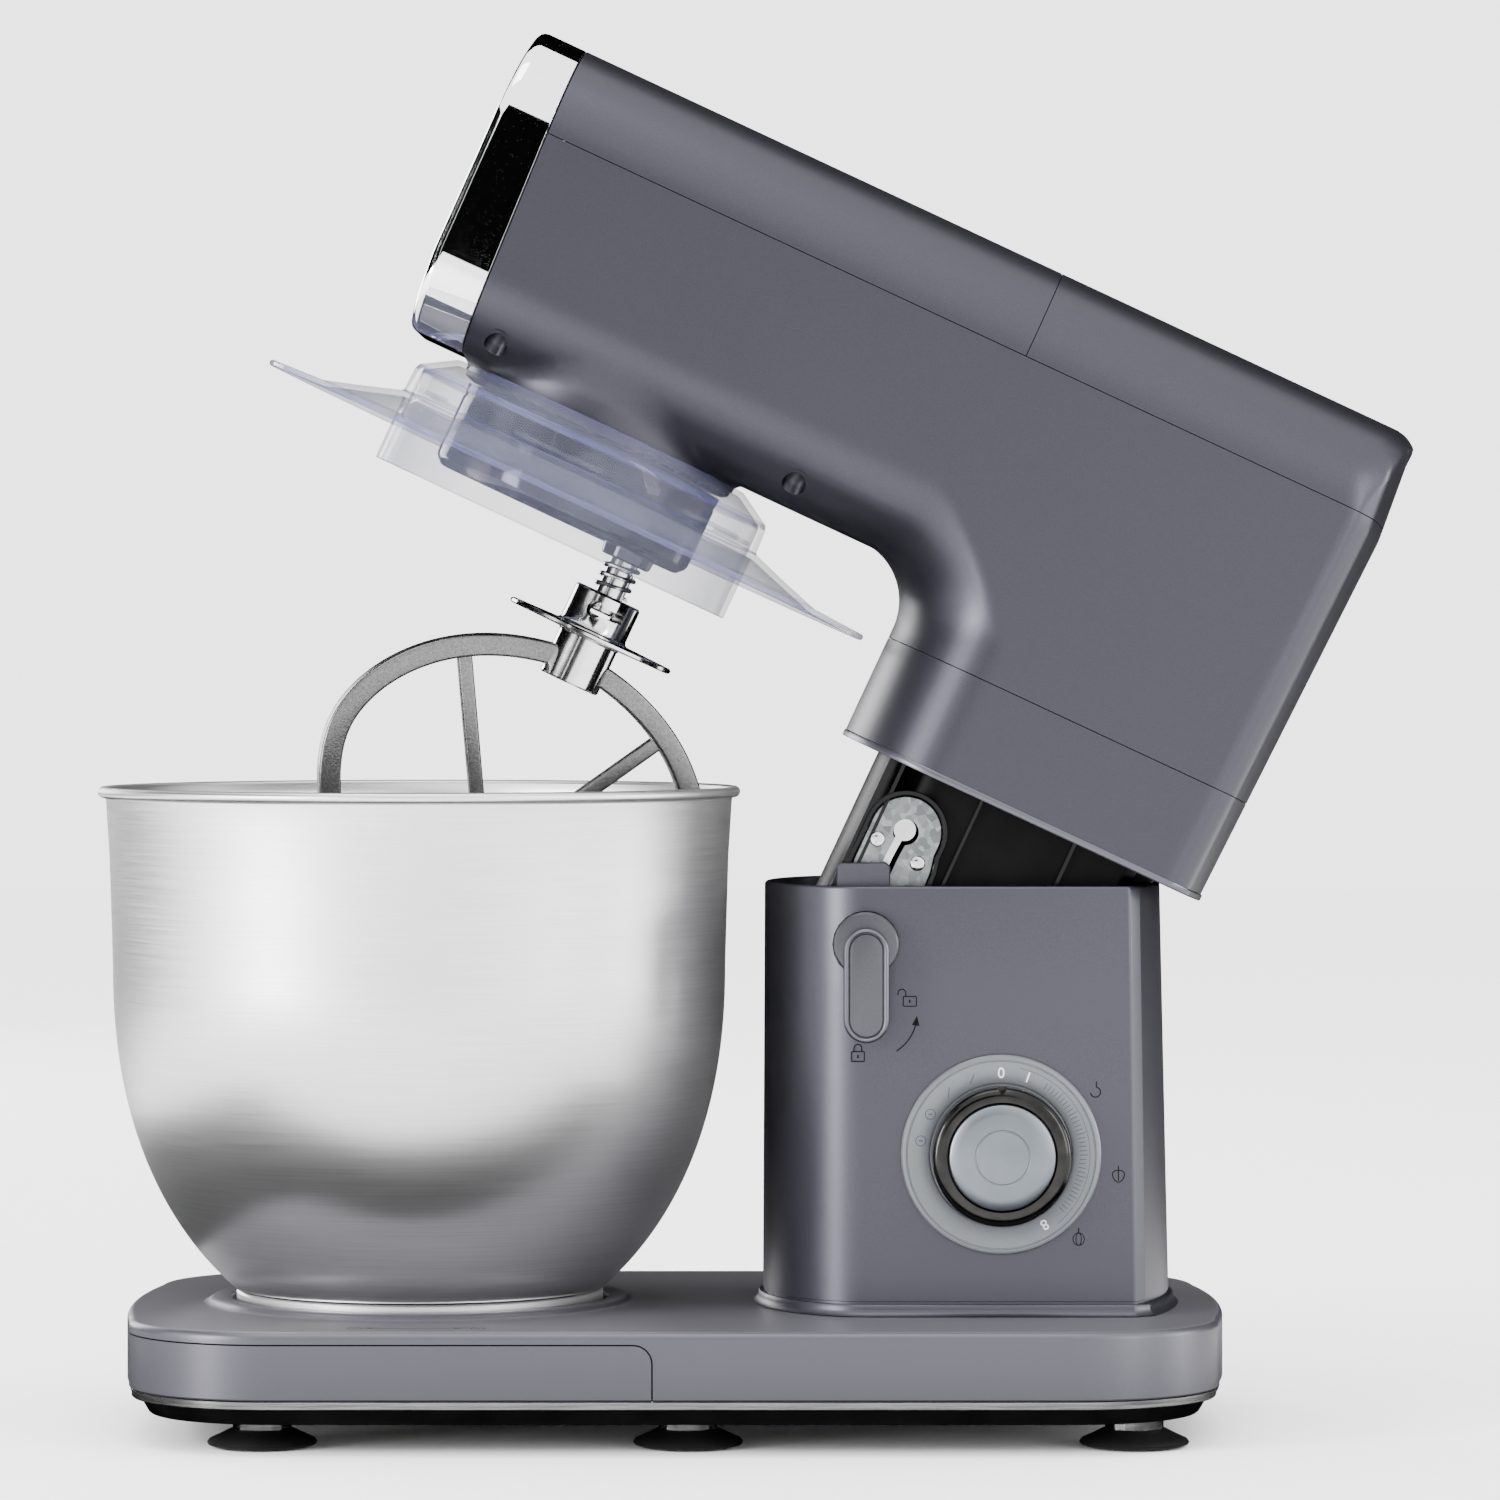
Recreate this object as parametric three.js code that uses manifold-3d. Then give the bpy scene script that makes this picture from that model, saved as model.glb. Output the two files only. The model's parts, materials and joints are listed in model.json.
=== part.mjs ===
// Tilt-head stand mixer, in millimetres, +Z up, feet on z = 0.
// The head is drawn level, as it is for mixing, and its group is then tipped back
// about the hinge pin. The +X end carries the column, and -Y is the side with the dial.
import * as THREE from 'three';
import { mergeVertices } from 'three/addons/utils/BufferGeometryUtils.js';
import Module from 'manifold-3d';

const wasm = await Module();
wasm.setup();

// ---------------------------------------------------------------- driving dimensions
const GAP = 0.3; // between neighbouring solids
const WALL = 3; // moulded housings
const COLUMN_WALL = 2.2;

const HINGE = { x: 130, z: 154, pinR: 2.5, earR: 4.9 };
const TILT = THREE.MathUtils.degToRad(25);
const BOWL_X = -114; // the bowl's axis is also the planetary axis of the level head
const LOCK = { x: 39, z: 166.5 }; // the lever's axis

const BASE = { x0: -209, x1: 157.8, halfWidth: 107.5, corner: 50, bulge: 4.5, top: 41, shelf: 18.2 };
const COLUMN = { tip: 5, shoulder: 40, flat: 128, edge: 132.7, edgeY: 51, rear: 140.8, half: 56,
  foot: BASE.top + GAP, top: 186 };
const NECK = { tip: 6.5, shoulder: 42, flat: 129, edge: 134.8, edgeY: 51, rear: 143, half: 56 };
const HEAD = { front: -171.5, bottom: 250.4, seam: 329, top: 361.4, half: 56, topR: 33, bottomR: 28,
  coverSplit: 7.5, skirtTop: 224, skirtBottom: 187.2, lip: 2.2 };
const BOWL = { rimR: 110.6, rim: 218.6, foot: 46, footR: 63.2, wall: 1.2,
  middle: 157, wide: 105.5, depth: 132.8, power: 2.2 };
const DIAL = { x: 84.5, z: 95.6, bezelR: 33.7, ringR: 23.4, capR: 17.9 };
const FEET = { xs: [-163, -20.7, 128.4], y: 75, cupR: 18.4, collarR: 9.9, top: 9.3 };
const GLAND = { x: 160.6, z: 27, r: 5, flangeR: 7.5 };
const GEAR = { module: 1.5, ring: 48, planet: 12, main: 56, pinion: 12 };
const OFFSET = (GEAR.ring - GEAR.planet) * GEAR.module / 2; // planetary axis to beater axis
const BEATER_X = BOWL_X + OFFSET;
const PINION_X = BOWL_X + (GEAR.main + GEAR.pinion) * GEAR.module / 2;
const MOTOR_X = 80;
const PULLEY = { big: 30, small: 10, low: 327, high: 341 };

// ---------------------------------------------------------------- materials
const paint = (color, roughness, metalness) =>
  new THREE.MeshStandardMaterial({ color, roughness, metalness });
const looks = {
  body: () => paint(0x56525f, 0.42, 0.55),
  strip: () => paint(0xb9bac0, 0.3, 0.9),
  black: () => paint(0x18181b, 0.5, 0),
  rubber: () => paint(0x151515, 0.8, 0),
  steel: () => paint(0xc4c4c6, 0.28, 1),
  chrome: () => paint(0xe6e6ea, 0.06, 1),
  zinc: () => paint(0xb4b7ba, 0.4, 0.9),
  cast: () => paint(0xc9c9cb, 0.38, 0.9),
  clear: () => Object.assign(paint(0xc3c9ee, 0.1, 0), { transparent: true, opacity: 0.4 }),
  nylon: () => paint(0xe8e4d8, 0.6, 0),
  copper: () => paint(0xa9643a, 0.4, 0.8),
  board: () => paint(0x2b5a3a, 0.6, 0),
};

// ---------------------------------------------------------------- solids
/** A closed three.js geometry as a manifold solid: shared vertices merged, empty triangles dropped. */
function solid(geometry) {
  const bare = new THREE.BufferGeometry();
  bare.setAttribute('position', geometry.getAttribute('position'));
  if (geometry.index) bare.setIndex(geometry.index);
  const merged = mergeVertices(bare, 1e-4);
  const index = merged.index.array;
  const triVerts = [];
  for (let i = 0; i < index.length; i += 3) {
    const [a, b, c] = [index[i], index[i + 1], index[i + 2]];
    if (a !== b && b !== c && c !== a) triVerts.push(a, b, c);
  }
  return new wasm.Manifold(new wasm.Mesh({
    numProp: 3,
    vertProperties: new Float32Array(merged.getAttribute('position').array),
    triVerts: new Uint32Array(triVerts),
  }));
}

function geometryOf(manifold) {
  const mesh = manifold.getMesh();
  const geometry = new THREE.BufferGeometry();
  geometry.setAttribute('position', new THREE.BufferAttribute(mesh.vertProperties, 3));
  geometry.setIndex(new THREE.BufferAttribute(mesh.triVerts, 1));
  geometry.computeVertexNormals();
  return geometry;
}

const join = (first, ...others) => others.reduce((sum, part) => sum.add(part), first);
const cut = (first, ...others) => others.reduce((rest, part) => rest.subtract(part), first);
const common = (first, ...others) => others.reduce((rest, part) => rest.intersect(part), first);

/** A box between two corners. */
function box([x0, y0, z0], [x1, y1, z1]) {
  const geometry = new THREE.BoxGeometry(x1 - x0, y1 - y0, z1 - z0);
  return solid(geometry.translate((x0 + x1) / 2, (y0 + y1) / 2, (z0 + z1) / 2));
}

/** An outline in X and Y, raised from z0 to z1; bevel rounds both of its ends inwards. */
function prism(shape, z0, z1, bevel = 0, curveSegments = 4) {
  const geometry = new THREE.ExtrudeGeometry(shape, {
    depth: z1 - z0 - 2 * bevel, curveSegments, bevelEnabled: bevel > 0, bevelThickness: bevel,
    bevelSize: bevel, bevelOffset: -bevel, bevelSegments: 1,
  });
  return solid(geometry.translate(0, 0, z0 + bevel));
}

/** An outline given in Y and Z, drawn out along X. */
function alongX(shape, x0, x1, curveSegments = 4) {
  const geometry = new THREE.ExtrudeGeometry(shape, { depth: x1 - x0, curveSegments, bevelEnabled: false });
  geometry.rotateX(Math.PI / 2).rotateZ(Math.PI / 2);
  return solid(geometry.translate(x0, 0, 0));
}

/** An outline given in X and Z, drawn out along Y from y0 to y1. */
function alongY(shape, y0, y1, curveSegments = 4) {
  const geometry = new THREE.ExtrudeGeometry(shape, { depth: y1 - y0, curveSegments, bevelEnabled: false });
  return solid(geometry.rotateX(Math.PI / 2).translate(0, y1, 0));
}

/** A profile of [radius, z] pairs turned about a vertical axis. It goes up the outside. */
function turned(profile, x = 0, y = 0, segments = 20) {
  const points = profile.map(([r, z]) => new THREE.Vector2(r, z));
  const geometry = new THREE.LatheGeometry(points, segments).rotateX(Math.PI / 2);
  return solid(geometry.translate(x, y, 0));
}

const disc = (r, z0, z1, x = 0, y = 0, segments = 20) =>
  turned([[0, z0], [r, z0], [r, z1], [0, z1]], x, y, segments);

const washer = (inner, outer, z0, z1, x = 0, y = 0, segments = 20) =>
  turned([[inner, z0], [outer, z0], [outer, z1], [inner, z1], [inner, z0]], x, y, segments);

/** A profile of [radius, y] pairs turned about an axis along Y through (x, z), from low y to high y. */
function turnedY(profile, x, z, segments = 20) {
  const points = profile.map(([r, y]) => new THREE.Vector2(r, y));
  return solid(new THREE.LatheGeometry(points, segments).translate(x, 0, z));
}

/** A disc or washer whose axis runs along Y through (x, z). */
function discY(r, y0, y1, x, z, segments = 16, inner = 0) {
  const shape = circle(r, x, z);
  if (inner) shape.holes.push(circle(inner, x, z));
  return alongY(shape, y0, y1, segments / 4);
}

/** Two half turns, so that a circle has four straight sides for each of an extrusion's curve segments. */
function circle(r, x = 0, y = 0) {
  const shape = new THREE.Shape();
  shape.absarc(x, y, r, 0, Math.PI, false);
  shape.absarc(x, y, r, Math.PI, 2 * Math.PI, false);
  return shape;
}

// ---------------------------------------------------------------- outlines
/** The base seen from above, drawn in by inset: four rounded corners and two bowed ends. */
function baseOutline(inset = 0) {
  const { x0, x1, halfWidth, corner, bulge } = BASE;
  const [left, right, half, r] = [x0 + inset, x1 - inset, halfWidth - inset, corner - inset];
  const shape = new THREE.Shape();
  shape.absarc(right - r, half - r, r, 0, Math.PI / 2, false);
  shape.absarc(left + r, half - r, r, Math.PI / 2, Math.PI, false);
  shape.quadraticCurveTo(left - 2 * bulge, 0, left, r - half);
  shape.absarc(left + r, r - half, r, Math.PI, 1.5 * Math.PI, false);
  shape.absarc(right - r, r - half, r, 1.5 * Math.PI, 2 * Math.PI, false);
  shape.quadraticCurveTo(right + 2 * bulge, 0, right, half - r);
  return shape;
}

/** The D-shaped plan of the column, skirt and neck: half an ellipse in front, a bowed back. */
function towerOutline({ tip, shoulder, flat, edge, edgeY, rear, half }, inset = 0) {
  const shape = new THREE.Shape();
  shape.moveTo(shoulder, inset - half);
  shape.lineTo(flat, inset - half);
  shape.lineTo(edge - inset, inset - edgeY);
  shape.quadraticCurveTo(2 * rear - edge - inset, 0, edge - inset, edgeY - inset);
  shape.lineTo(flat, half - inset);
  shape.lineTo(shoulder, half - inset);
  shape.absellipse(shoulder, 0, shoulder - tip - inset, half - inset, Math.PI / 2, 1.5 * Math.PI, false);
  return shape;
}

/** The head's cross-section in Y and Z, drawn in by inset. */
function headSection(bottom, bottomR, inset = 0) {
  const half = HEAD.half - inset;
  const [low, high, topR] = [bottom + inset, HEAD.top - inset, HEAD.topR - inset];
  const lowR = Math.max(bottomR - inset, 0.01);
  const shape = new THREE.Shape();
  shape.absarc(half - topR, high - topR, topR, 0, Math.PI / 2, false);
  shape.absarc(topR - half, high - topR, topR, Math.PI / 2, Math.PI, false);
  shape.absarc(lowR - half, low + lowR, lowR, Math.PI, 1.5 * Math.PI, false);
  shape.absarc(half - lowR, low + lowR, lowR, 1.5 * Math.PI, 2 * Math.PI, false);
  return shape;
}

/** The head's side view in X and Z: the long barrel, the hollow under it, the neck and rear corner. */
function headProfile(front, bottom, inset = 0) {
  const fillet = 22.5 + inset;
  const neck = NECK.tip + inset;
  const [low, high, rear] = [HEAD.bottom + inset, HEAD.top - inset, 145.9 - inset];
  const shape = new THREE.Shape();
  shape.moveTo(front, low);
  shape.lineTo(neck - fillet, low);
  shape.absarc(neck - fillet, low - fillet, fillet, Math.PI / 2, 0, true);
  shape.lineTo(neck, bottom);
  shape.lineTo(142.5 - inset, bottom);
  shape.lineTo(rear, 334);
  shape.absellipse(132.8, 334, rear - 132.8, high - 334, 0, Math.PI / 2, false);
  shape.lineTo(front, high);
  return shape;
}

/** A gear's outline, or the hole in a ring gear: straight-flanked teeth, one of them on +X. */
function gearOutline(teeth, addendum, dedendum, thinning, phase = 0, shape = new THREE.Shape()) {
  const pitchR = teeth * GEAR.module / 2;
  const halfTooth = Math.PI * GEAR.module / 4 - thinning;
  const slope = Math.tan(THREE.MathUtils.degToRad(22));
  const corners = [[-1, -dedendum], [-1, addendum], [1, addendum], [1, -dedendum]];
  for (let tooth = 0; tooth < teeth; tooth++) {
    for (const [side, height] of corners) {
      const r = pitchR + height;
      const angle = phase + 2 * Math.PI * tooth / teeth + side * (halfTooth - height * slope) / pitchR;
      const [x, y] = [r * Math.cos(angle), r * Math.sin(angle)];
      if (tooth === 0 && shape.curves.length === 0 && side === -1 && height < 0) shape.moveTo(x, y);
      else shape.lineTo(x, y);
    }
  }
  return shape;
}

// ---------------------------------------------------------------- base and column
/** The tray-shaped moulding that makes the whole outside of the base. */
function baseShell() {
  const { top, shelf } = BASE;
  const outer = prism(baseOutline(), shelf - 4, top, 2.2);
  const hollow = prism(baseOutline(WALL), shelf - 5, top - WALL);
  const boss = turned([[0, 30], [74, 30], [71.5, top + 2], [0, top + 2]], BOWL_X, 0, 32);
  const recess = disc(64.7, 38, 50, BOWL_X, 0, 32);
  const below = box([-300, -200, 0], [300, 200, shelf]);
  const mouth = prism(towerOutline(COLUMN, 12), 30, 60);
  const inlet = discY(GLAND.r + GAP, -20, 20, 0, 0).rotate([0, 0, 90]).translate([GLAND.x, 0, GLAND.z]);
  return cut(join(cut(outer, hollow, below), cut(boss, disc(80, 0, 35, BOWL_X))), recess, mouth, inlet);
}

const PANEL = { right: -32, seam: 36.9 };

function baseCover() {
  return cut(baseShell(), box([-300, -200, 0], [PANEL.right, 200, PANEL.seam])
    .subtract(disc(76, 0, 60, BOWL_X)));
}

function baseFrontPanel() {
  return common(baseShell(), box([-300, -200, 0], [PANEL.right - GAP, 200, PANEL.seam - GAP])
    .subtract(disc(76, 0, 60, BOWL_X)));
}

function baseTrimStrip() {
  return cut(prism(baseOutline(0.8), 15.1, BASE.shelf - GAP), prism(baseOutline(WALL + 3), 10, 20));
}

function baseBottomPlate() {
  const plate = prism(baseOutline(4), FEET.top + GAP, 14.8, 2);
  const vents = [];
  for (let slot = 0; slot < 6; slot++) {
    vents.push(box([60 + 8 * slot, -30, 0], [64 + 8 * slot, 30, 30]));
  }
  return cut(plate, ...vents);
}

/** A suction cup under a steel collar. */
function foot(x, y) {
  const { cupR, collarR, top } = FEET;
  return turned([[0, 0], [16.5, 0], [cupR, 1.6], [15, 4], [10.5, 5.6], [collarR, 5.8], [collarR, top],
    [0, top]], x, y, 14);
}

/** The column's wall, open above, with a low lip round its foot and holes for the lever and dial. */
function columnShell() {
  const { foot: low, top } = COLUMN;
  const wall = prism(towerOutline(COLUMN), low, top);
  const lip = prism(towerOutline(COLUMN, -2.4), low, low + 3.9, 0.8);
  const hollow = prism(towerOutline(COLUMN, COLUMN_WALL), 0, top + 10);
  return cut(join(wall, lip), hollow,
    discY(9.4, -70, -40, LOCK.x, LOCK.z), discY(15, -70, -40, DIAL.x, DIAL.z));
}

/** The ledge inside the column's mouth, with the opening for the neck. */
function columnTopDeck() {
  const plate = prism(towerOutline(COLUMN, COLUMN_WALL + GAP), 174, 178);
  const opening = prism(towerOutline({ ...COLUMN, tip: 13, half: 46 }), 150, 200);
  const rear = box([100, -60, 150], [160, 60, 200]);
  const lockGap = box([22, -60, 150], [110, -30, 200]);
  return cut(plate, opening, rear, lockGap);
}

function hingeBracket(side) {
  const shape = new THREE.Shape();
  shape.moveTo(119.5, 60);
  shape.lineTo(133.6, 60);
  shape.lineTo(133.6, HINGE.z);
  shape.lineTo(121.5, HINGE.z - 6);
  const [y0, y1] = side > 0 ? [30.6, 35] : [-35, -30.6];
  const ear = join(alongY(shape, y0, y1), discY(7.5, y0, y1, HINGE.x, HINGE.z));
  const rearLimit = box([133.6, -60, 0], [160, 60, 200]);
  return cut(ear, discY(HINGE.pinR + GAP, -60, 60, HINGE.x, HINGE.z), rearLimit);
}

const hingePin = () => discY(HINGE.pinR, -37, 37, HINGE.x, HINGE.z);

const leverBush = () => turnedY([[5, -58], [8.8, -58], [8.8, -57.6], [11.3, -57.6], [11.3, -56.4],
  [8.8, -56.4], [8.8, -50.5], [5, -50.5], [5, -58]], LOCK.x, LOCK.z);

// ---------------------------------------------------------------- dial and lever
const dialBezel = () => discY(DIAL.bezelR, -58.6, -56.4, DIAL.x, DIAL.z, 32, 14.6);

const dialRing = () => turnedY([[DIAL.capR + GAP, -70.4], [DIAL.ringR - 1, -70.4], [DIAL.ringR, -69],
  [DIAL.ringR, -59], [4 + GAP, -59], [4 + GAP, -64], [DIAL.capR + GAP, -64], [DIAL.capR + GAP, -70.4]],
DIAL.x, DIAL.z, 32);

const dialCap = () => turnedY([[0, -72], [DIAL.capR - 0.8, -72], [DIAL.capR, -71.2], [DIAL.capR, -64.4],
  [0, -64.4]], DIAL.x, DIAL.z, 32);

const dialShaft = () => discY(4, -64, -34, DIAL.x, DIAL.z, 20);

const controlBoard = () => cut(box([56, -47, 68], [113, -45.4, 122]), discY(5, -60, -40, DIAL.x, DIAL.z));

const speedSwitch = () => cut(box([70, -45, 82], [99, -28, 109]), discY(4.5, -60, -31, DIAL.x, DIAL.z));

/** A bar with round ends below the lever's axis, drawn in by inset. */
function leverOutline(inset) {
  const r = 7.6 - inset;
  const shape = new THREE.Shape();
  shape.absarc(LOCK.x, LOCK.z - 1.8, r, 0, Math.PI, false);
  shape.absarc(LOCK.x, LOCK.z - 25.2, r, Math.PI, 2 * Math.PI, false);
  return shape;
}

/** The lever's tray-shaped arm on its round boss, with the spindle that goes through the wall. */
function leverArm() {
  const arm = alongY(leverOutline(0), -67, -60.4);
  const boss = discY(11, -62, -58.4, LOCK.x, LOCK.z, 20);
  const tray = alongY(leverOutline(1.6), -70, -65.2);
  return cut(join(arm, boss, discY(4.6, -61, -49, LOCK.x, LOCK.z)), tray);
}

const leverInsert = () => alongY(leverOutline(1.9), -66.6, -65.5);

/** The pin that locks the head: two flats let it through the plate's slot when the lever hangs. */
function lockPin() {
  const round = discY(3.9, -48.6, -37, LOCK.x, LOCK.z);
  const geometry = new THREE.BoxGeometry(3.4, 30, 12);
  geometry.rotateY(Math.atan2(LOCK.z - HINGE.z, HINGE.x - LOCK.x));
  return common(round, solid(geometry.translate(LOCK.x, -42, LOCK.z)));
}

/** The inlet for the supply cord: a bush, flush with the base's rear wall, on a flange inside it. */
const cordGland = () => turnedY([[0, -1.4], [GLAND.r, -1.4], [GLAND.r, 1.8], [GLAND.flangeR, 1.8],
  [GLAND.flangeR, 4.6], [GLAND.r, 4.6], [GLAND.r, 9], [0, 9]], 0, 0, 16);

// ---------------------------------------------------------------- bowl
/** The bowl's side: a squarish oval from its flat bottom up to its middle, then nearly straight. */
function bowlProfile(inset) {
  const { foot: low, middle, wide, depth, power } = BOWL;
  const points = [[0, low + inset]];
  for (let step = 0; step <= 6; step++) {
    const z = low + (middle - low) * (step / 6) ** 1.5;
    const r = wide * (1 - ((middle - z) / depth) ** power) ** (1 / power);
    points.push([r - inset, z + inset * (1 - step / 6)]);
  }
  points.push([106.6 - inset, 195], [107.8 - inset, BOWL.rim - 3]);
  return points;
}

function bowl() {
  const { rimR, rim, wall } = BOWL;
  const lip = [[rimR, rim - 2.4], [rimR, rim - 0.6], [rimR - 1.4, rim], [107, rim]];
  return turned([...bowlProfile(0), ...lip, ...bowlProfile(wall).reverse()], BOWL_X, 0, 28);
}

const bowlFoot = () => turned([[59, 38.3], [BOWL.footR, 38.3], [BOWL.footR, 45.4], [59, 45.4],
  [59, 38.3]], BOWL_X, 0, 32);

const bowlLockPlate = () => washer(14, 50, 38.3, 40.6, BOWL_X, 0, 24);

// ---------------------------------------------------------------- head shells
const SCREW = { recessR: 4.1, seat: 265 };
const SCREWS = [-156.2, -45.2].flatMap((x) => [-46, 46].map((y) => [x, y]));

/** Everything inside the head's skin, drawn in by inset. */
function headBody(inset, front) {
  const { bottom, top, skirtTop, bottomR } = HEAD;
  const barrel = alongX(headSection(bottom, bottomR, inset), front, 60);
  const tower = prism(towerOutline(NECK, inset), skirtTop, top + 10);
  const throat = prism(towerOutline({ ...NECK, tip: -20, shoulder: 22 }, inset), skirtTop, bottom + 14);
  const arch = alongX(headSection(skirtTop - 20, 0, inset), front, 160);
  const side = alongY(headProfile(front, skirtTop - 5, inset), -80, 80);
  return cut(common(join(barrel, tower, throat), arch, side), box([-200, -99, 0], [200, 99, skirtTop]));
}

function headShell() {
  const collar = turned([[0, 243.6], [49.8, 243.6], [49.8, 249], [56, 250.8], [56, 256], [0, 256]],
    BOWL_X, 0, 32);
  const hollow = join(headBody(WALL, HEAD.front + WALL), prism(towerOutline(NECK, WALL), 200, 240));
  const spindleHole = disc(38.4, 230, 262, BOWL_X, 0, 32);
  const bosses = SCREWS.map(([x, y]) => disc(6.5, 252, 285, x, y, 12));
  const screwHoles = SCREWS.map(([x, y]) =>
    join(disc(SCREW.recessR, 240, SCREW.seat, x, y, 16), disc(1.9, 250, 290, x, y, 12)));
  const outside = headBody(0, HEAD.front);
  const skin = cut(join(outside, collar), hollow, spindleHole);
  return cut(join(skin, common(join(...bosses), outside)), ...screwHoles);
}

function headHousing() {
  return cut(headShell(), box([-300, -99, HEAD.seam], [300, 99, 400]));
}

const topCoverFront = () =>
  common(headShell(), box([-300, -99, HEAD.seam + GAP], [HEAD.coverSplit - GAP, 99, 400]));

const topCoverRear = () =>
  common(headShell(), box([HEAD.coverSplit, -99, HEAD.seam + GAP], [300, 99, 400]));

function headSkirt() {
  const low = HEAD.skirtBottom + HEAD.lip + GAP;
  return cut(prism(towerOutline({ ...NECK, rear: 142.6 }), low, HEAD.skirtTop - GAP),
    prism(towerOutline({ ...NECK, rear: 142.6 }, WALL), 150, 250));
}

function skirtLip() {
  const outline = { ...NECK, rear: 142.2 };
  return cut(prism(towerOutline(outline, 0.3), HEAD.skirtBottom, HEAD.skirtBottom + HEAD.lip),
    prism(towerOutline(outline, WALL), 150, 250));
}

/** The plated cap at the front: a ring that leans in a little, around a dark panel. */
function frontBand() {
  const ring = alongX(headSection(HEAD.bottom, HEAD.bottomR), -188.6, HEAD.front - GAP);
  return cut(ring, alongX(headSection(HEAD.bottom, HEAD.bottomR, 5), -200, -175));
}

const frontPanel = () => alongX(headSection(HEAD.bottom, HEAD.bottomR, 5 + GAP), -187, -175 - GAP);

// ---------------------------------------------------------------- inside the head
const LOCK_SCREWS = [[31.2, 160.4], [47, 158.6]];

/** The black inner neck: it hangs from the head into the column and turns on the hinge pin. */
function neckFrame() {
  const outline = { tip: 20, shoulder: 46, flat: 112, edge: 116, edgeY: 36, rear: 118, half: 40 };
  const [low, shelf, top] = [128, 239, 242];
  const tube = cut(prism(towerOutline(outline), low, top), prism(towerOutline(outline, WALL), 100, shelf),
    disc(12, 200, 260, MOTOR_X));
  const ears = [1, -1].map((side) => {
    const [y0, y1] = side > 0 ? [24, 30] : [-30, -24];
    return join(box([112, y0, HINGE.z - HINGE.earR], [HINGE.x, y1, HINGE.z + HINGE.earR]),
      discY(HINGE.earR, y0, y1, HINGE.x, HINGE.z));
  });
  const pad = box([27, -39.9, 150], [52, -32, 182]);
  const pinPath = box([34.6, -50, 120], [46.6, -28, 172]);
  const screwHoles = LOCK_SCREWS.map(([x, z]) => discY(1.6, -60, -20, x, z, 12));
  return cut(join(tube, pad, ...ears), pinPath, ...screwHoles,
    discY(HINGE.pinR + GAP, -60, 60, HINGE.x, HINGE.z));
}

/** The zinc plate on the neck: a keyhole, whose slot is an arc about the hinge. */
function lockPlate() {
  const reach = Math.hypot(HINGE.x - LOCK.x, LOCK.z - HINGE.z);
  const start = Math.PI - Math.atan2(LOCK.z - HINGE.z, HINGE.x - LOCK.x);
  const slot = new THREE.Shape();
  slot.absarc(HINGE.x, HINGE.z, reach + 2.1, start, start + 0.4, false);
  slot.absarc(HINGE.x, HINGE.z, reach - 2.1, start + 0.4, start, true);
  const blank = new THREE.Shape();
  blank.absarc(LOCK.x, LOCK.z, 12.1, 0, Math.PI, false);
  blank.lineTo(LOCK.x - 12.1, 148);
  blank.lineTo(LOCK.x + 14, 146);
  return cut(alongY(blank, -42, -40.3), discY(4.4, -60, -20, LOCK.x, LOCK.z, 20),
    alongY(slot, -60, -20), ...LOCK_SCREWS.map(([x, z]) => discY(1.6, -60, -20, x, z, 12)));
}

const lockScrew = ([x, z]) => join(discY(2.6, -44, -42.3, x, z, 12), discY(1.2, -42.4, -34, x, z, 12));

const housingScrew = ([x, y]) =>
  join(disc(3.5, SCREW.seat - 3, SCREW.seat - GAP, x, y, 12), disc(1.5, SCREW.seat - 1, 282, x, y, 12));

function gear(teeth, z0, z1, boreR, x, phase = 0) {
  const shape = gearOutline(teeth, 0.95, 1.35, 0.16, phase);
  if (boreR) shape.holes.push(circle(boreR));
  return prism(shape, z0, z1).translate([x, 0, 0]);
}

function ringGear() {
  const shape = circle(42);
  shape.holes.push(gearOutline(GEAR.ring, 1.35, 0.95, -0.16));
  return prism(shape, 262.6, 272).translate([BOWL_X, 0, 0]);
}

const gearboxPlate = () => cut(join(disc(50, 274, 278, BOWL_X), box([-90, -34, 274], [-44, 34, 278])),
  disc(9.6, 260, 290, BOWL_X, 0, 32), disc(4.4, 260, 290, PINION_X, 0, 24));

const mainGear = () => gear(GEAR.main, 281, 291, 9, BOWL_X);

/** The planetary hub: a hollow drum under the head on a spindle that carries the main gear. */
function planetaryHub() {
  const drum = turned([[0, 213], [44, 213], [47.5, 216], [47.5, 242.8], [0, 242.8]], BOWL_X, 0, 32);
  const core = join(disc(36, 242, 249, BOWL_X, 0, 32), disc(9, 248, 280.7, BOWL_X, 0, 32));
  const hollow = turned([[9, 216], [43, 216], [44.7, 218], [44.7, 240], [33, 240], [33, 246], [9, 246],
    [9, 216]], BOWL_X, 0, 32);
  return cut(join(drum, core), hollow, disc(5.4, 200, 260, BEATER_X, 0, 24));
}

const planetGear = () => gear(GEAR.planet, 263, 271, 5.3, BEATER_X);

/** The beater's shaft, with the cross pin that turns the beater. */
function beaterShaft() {
  const pin = new THREE.CylinderGeometry(1.5, 1.5, 14, 12).rotateZ(Math.PI / 2);
  return join(disc(5, 190, 273, BEATER_X), solid(pin.translate(BEATER_X, 0, 204)));
}

function beaterHub() {
  const body = turned([[0, 163.3], [10.8, 163.3], [10.8, 180], [30.2, 180.4], [30.2, 182.4],
    [12.1, 183], [12.1, 196.5], [0, 196.5]], BEATER_X);
  const bayonet = box([BEATER_X - 14, -2, 194], [BEATER_X + 14, 2, 210]);
  return cut(body, disc(5.4, 186, 210, BEATER_X), bayonet);
}

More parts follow.
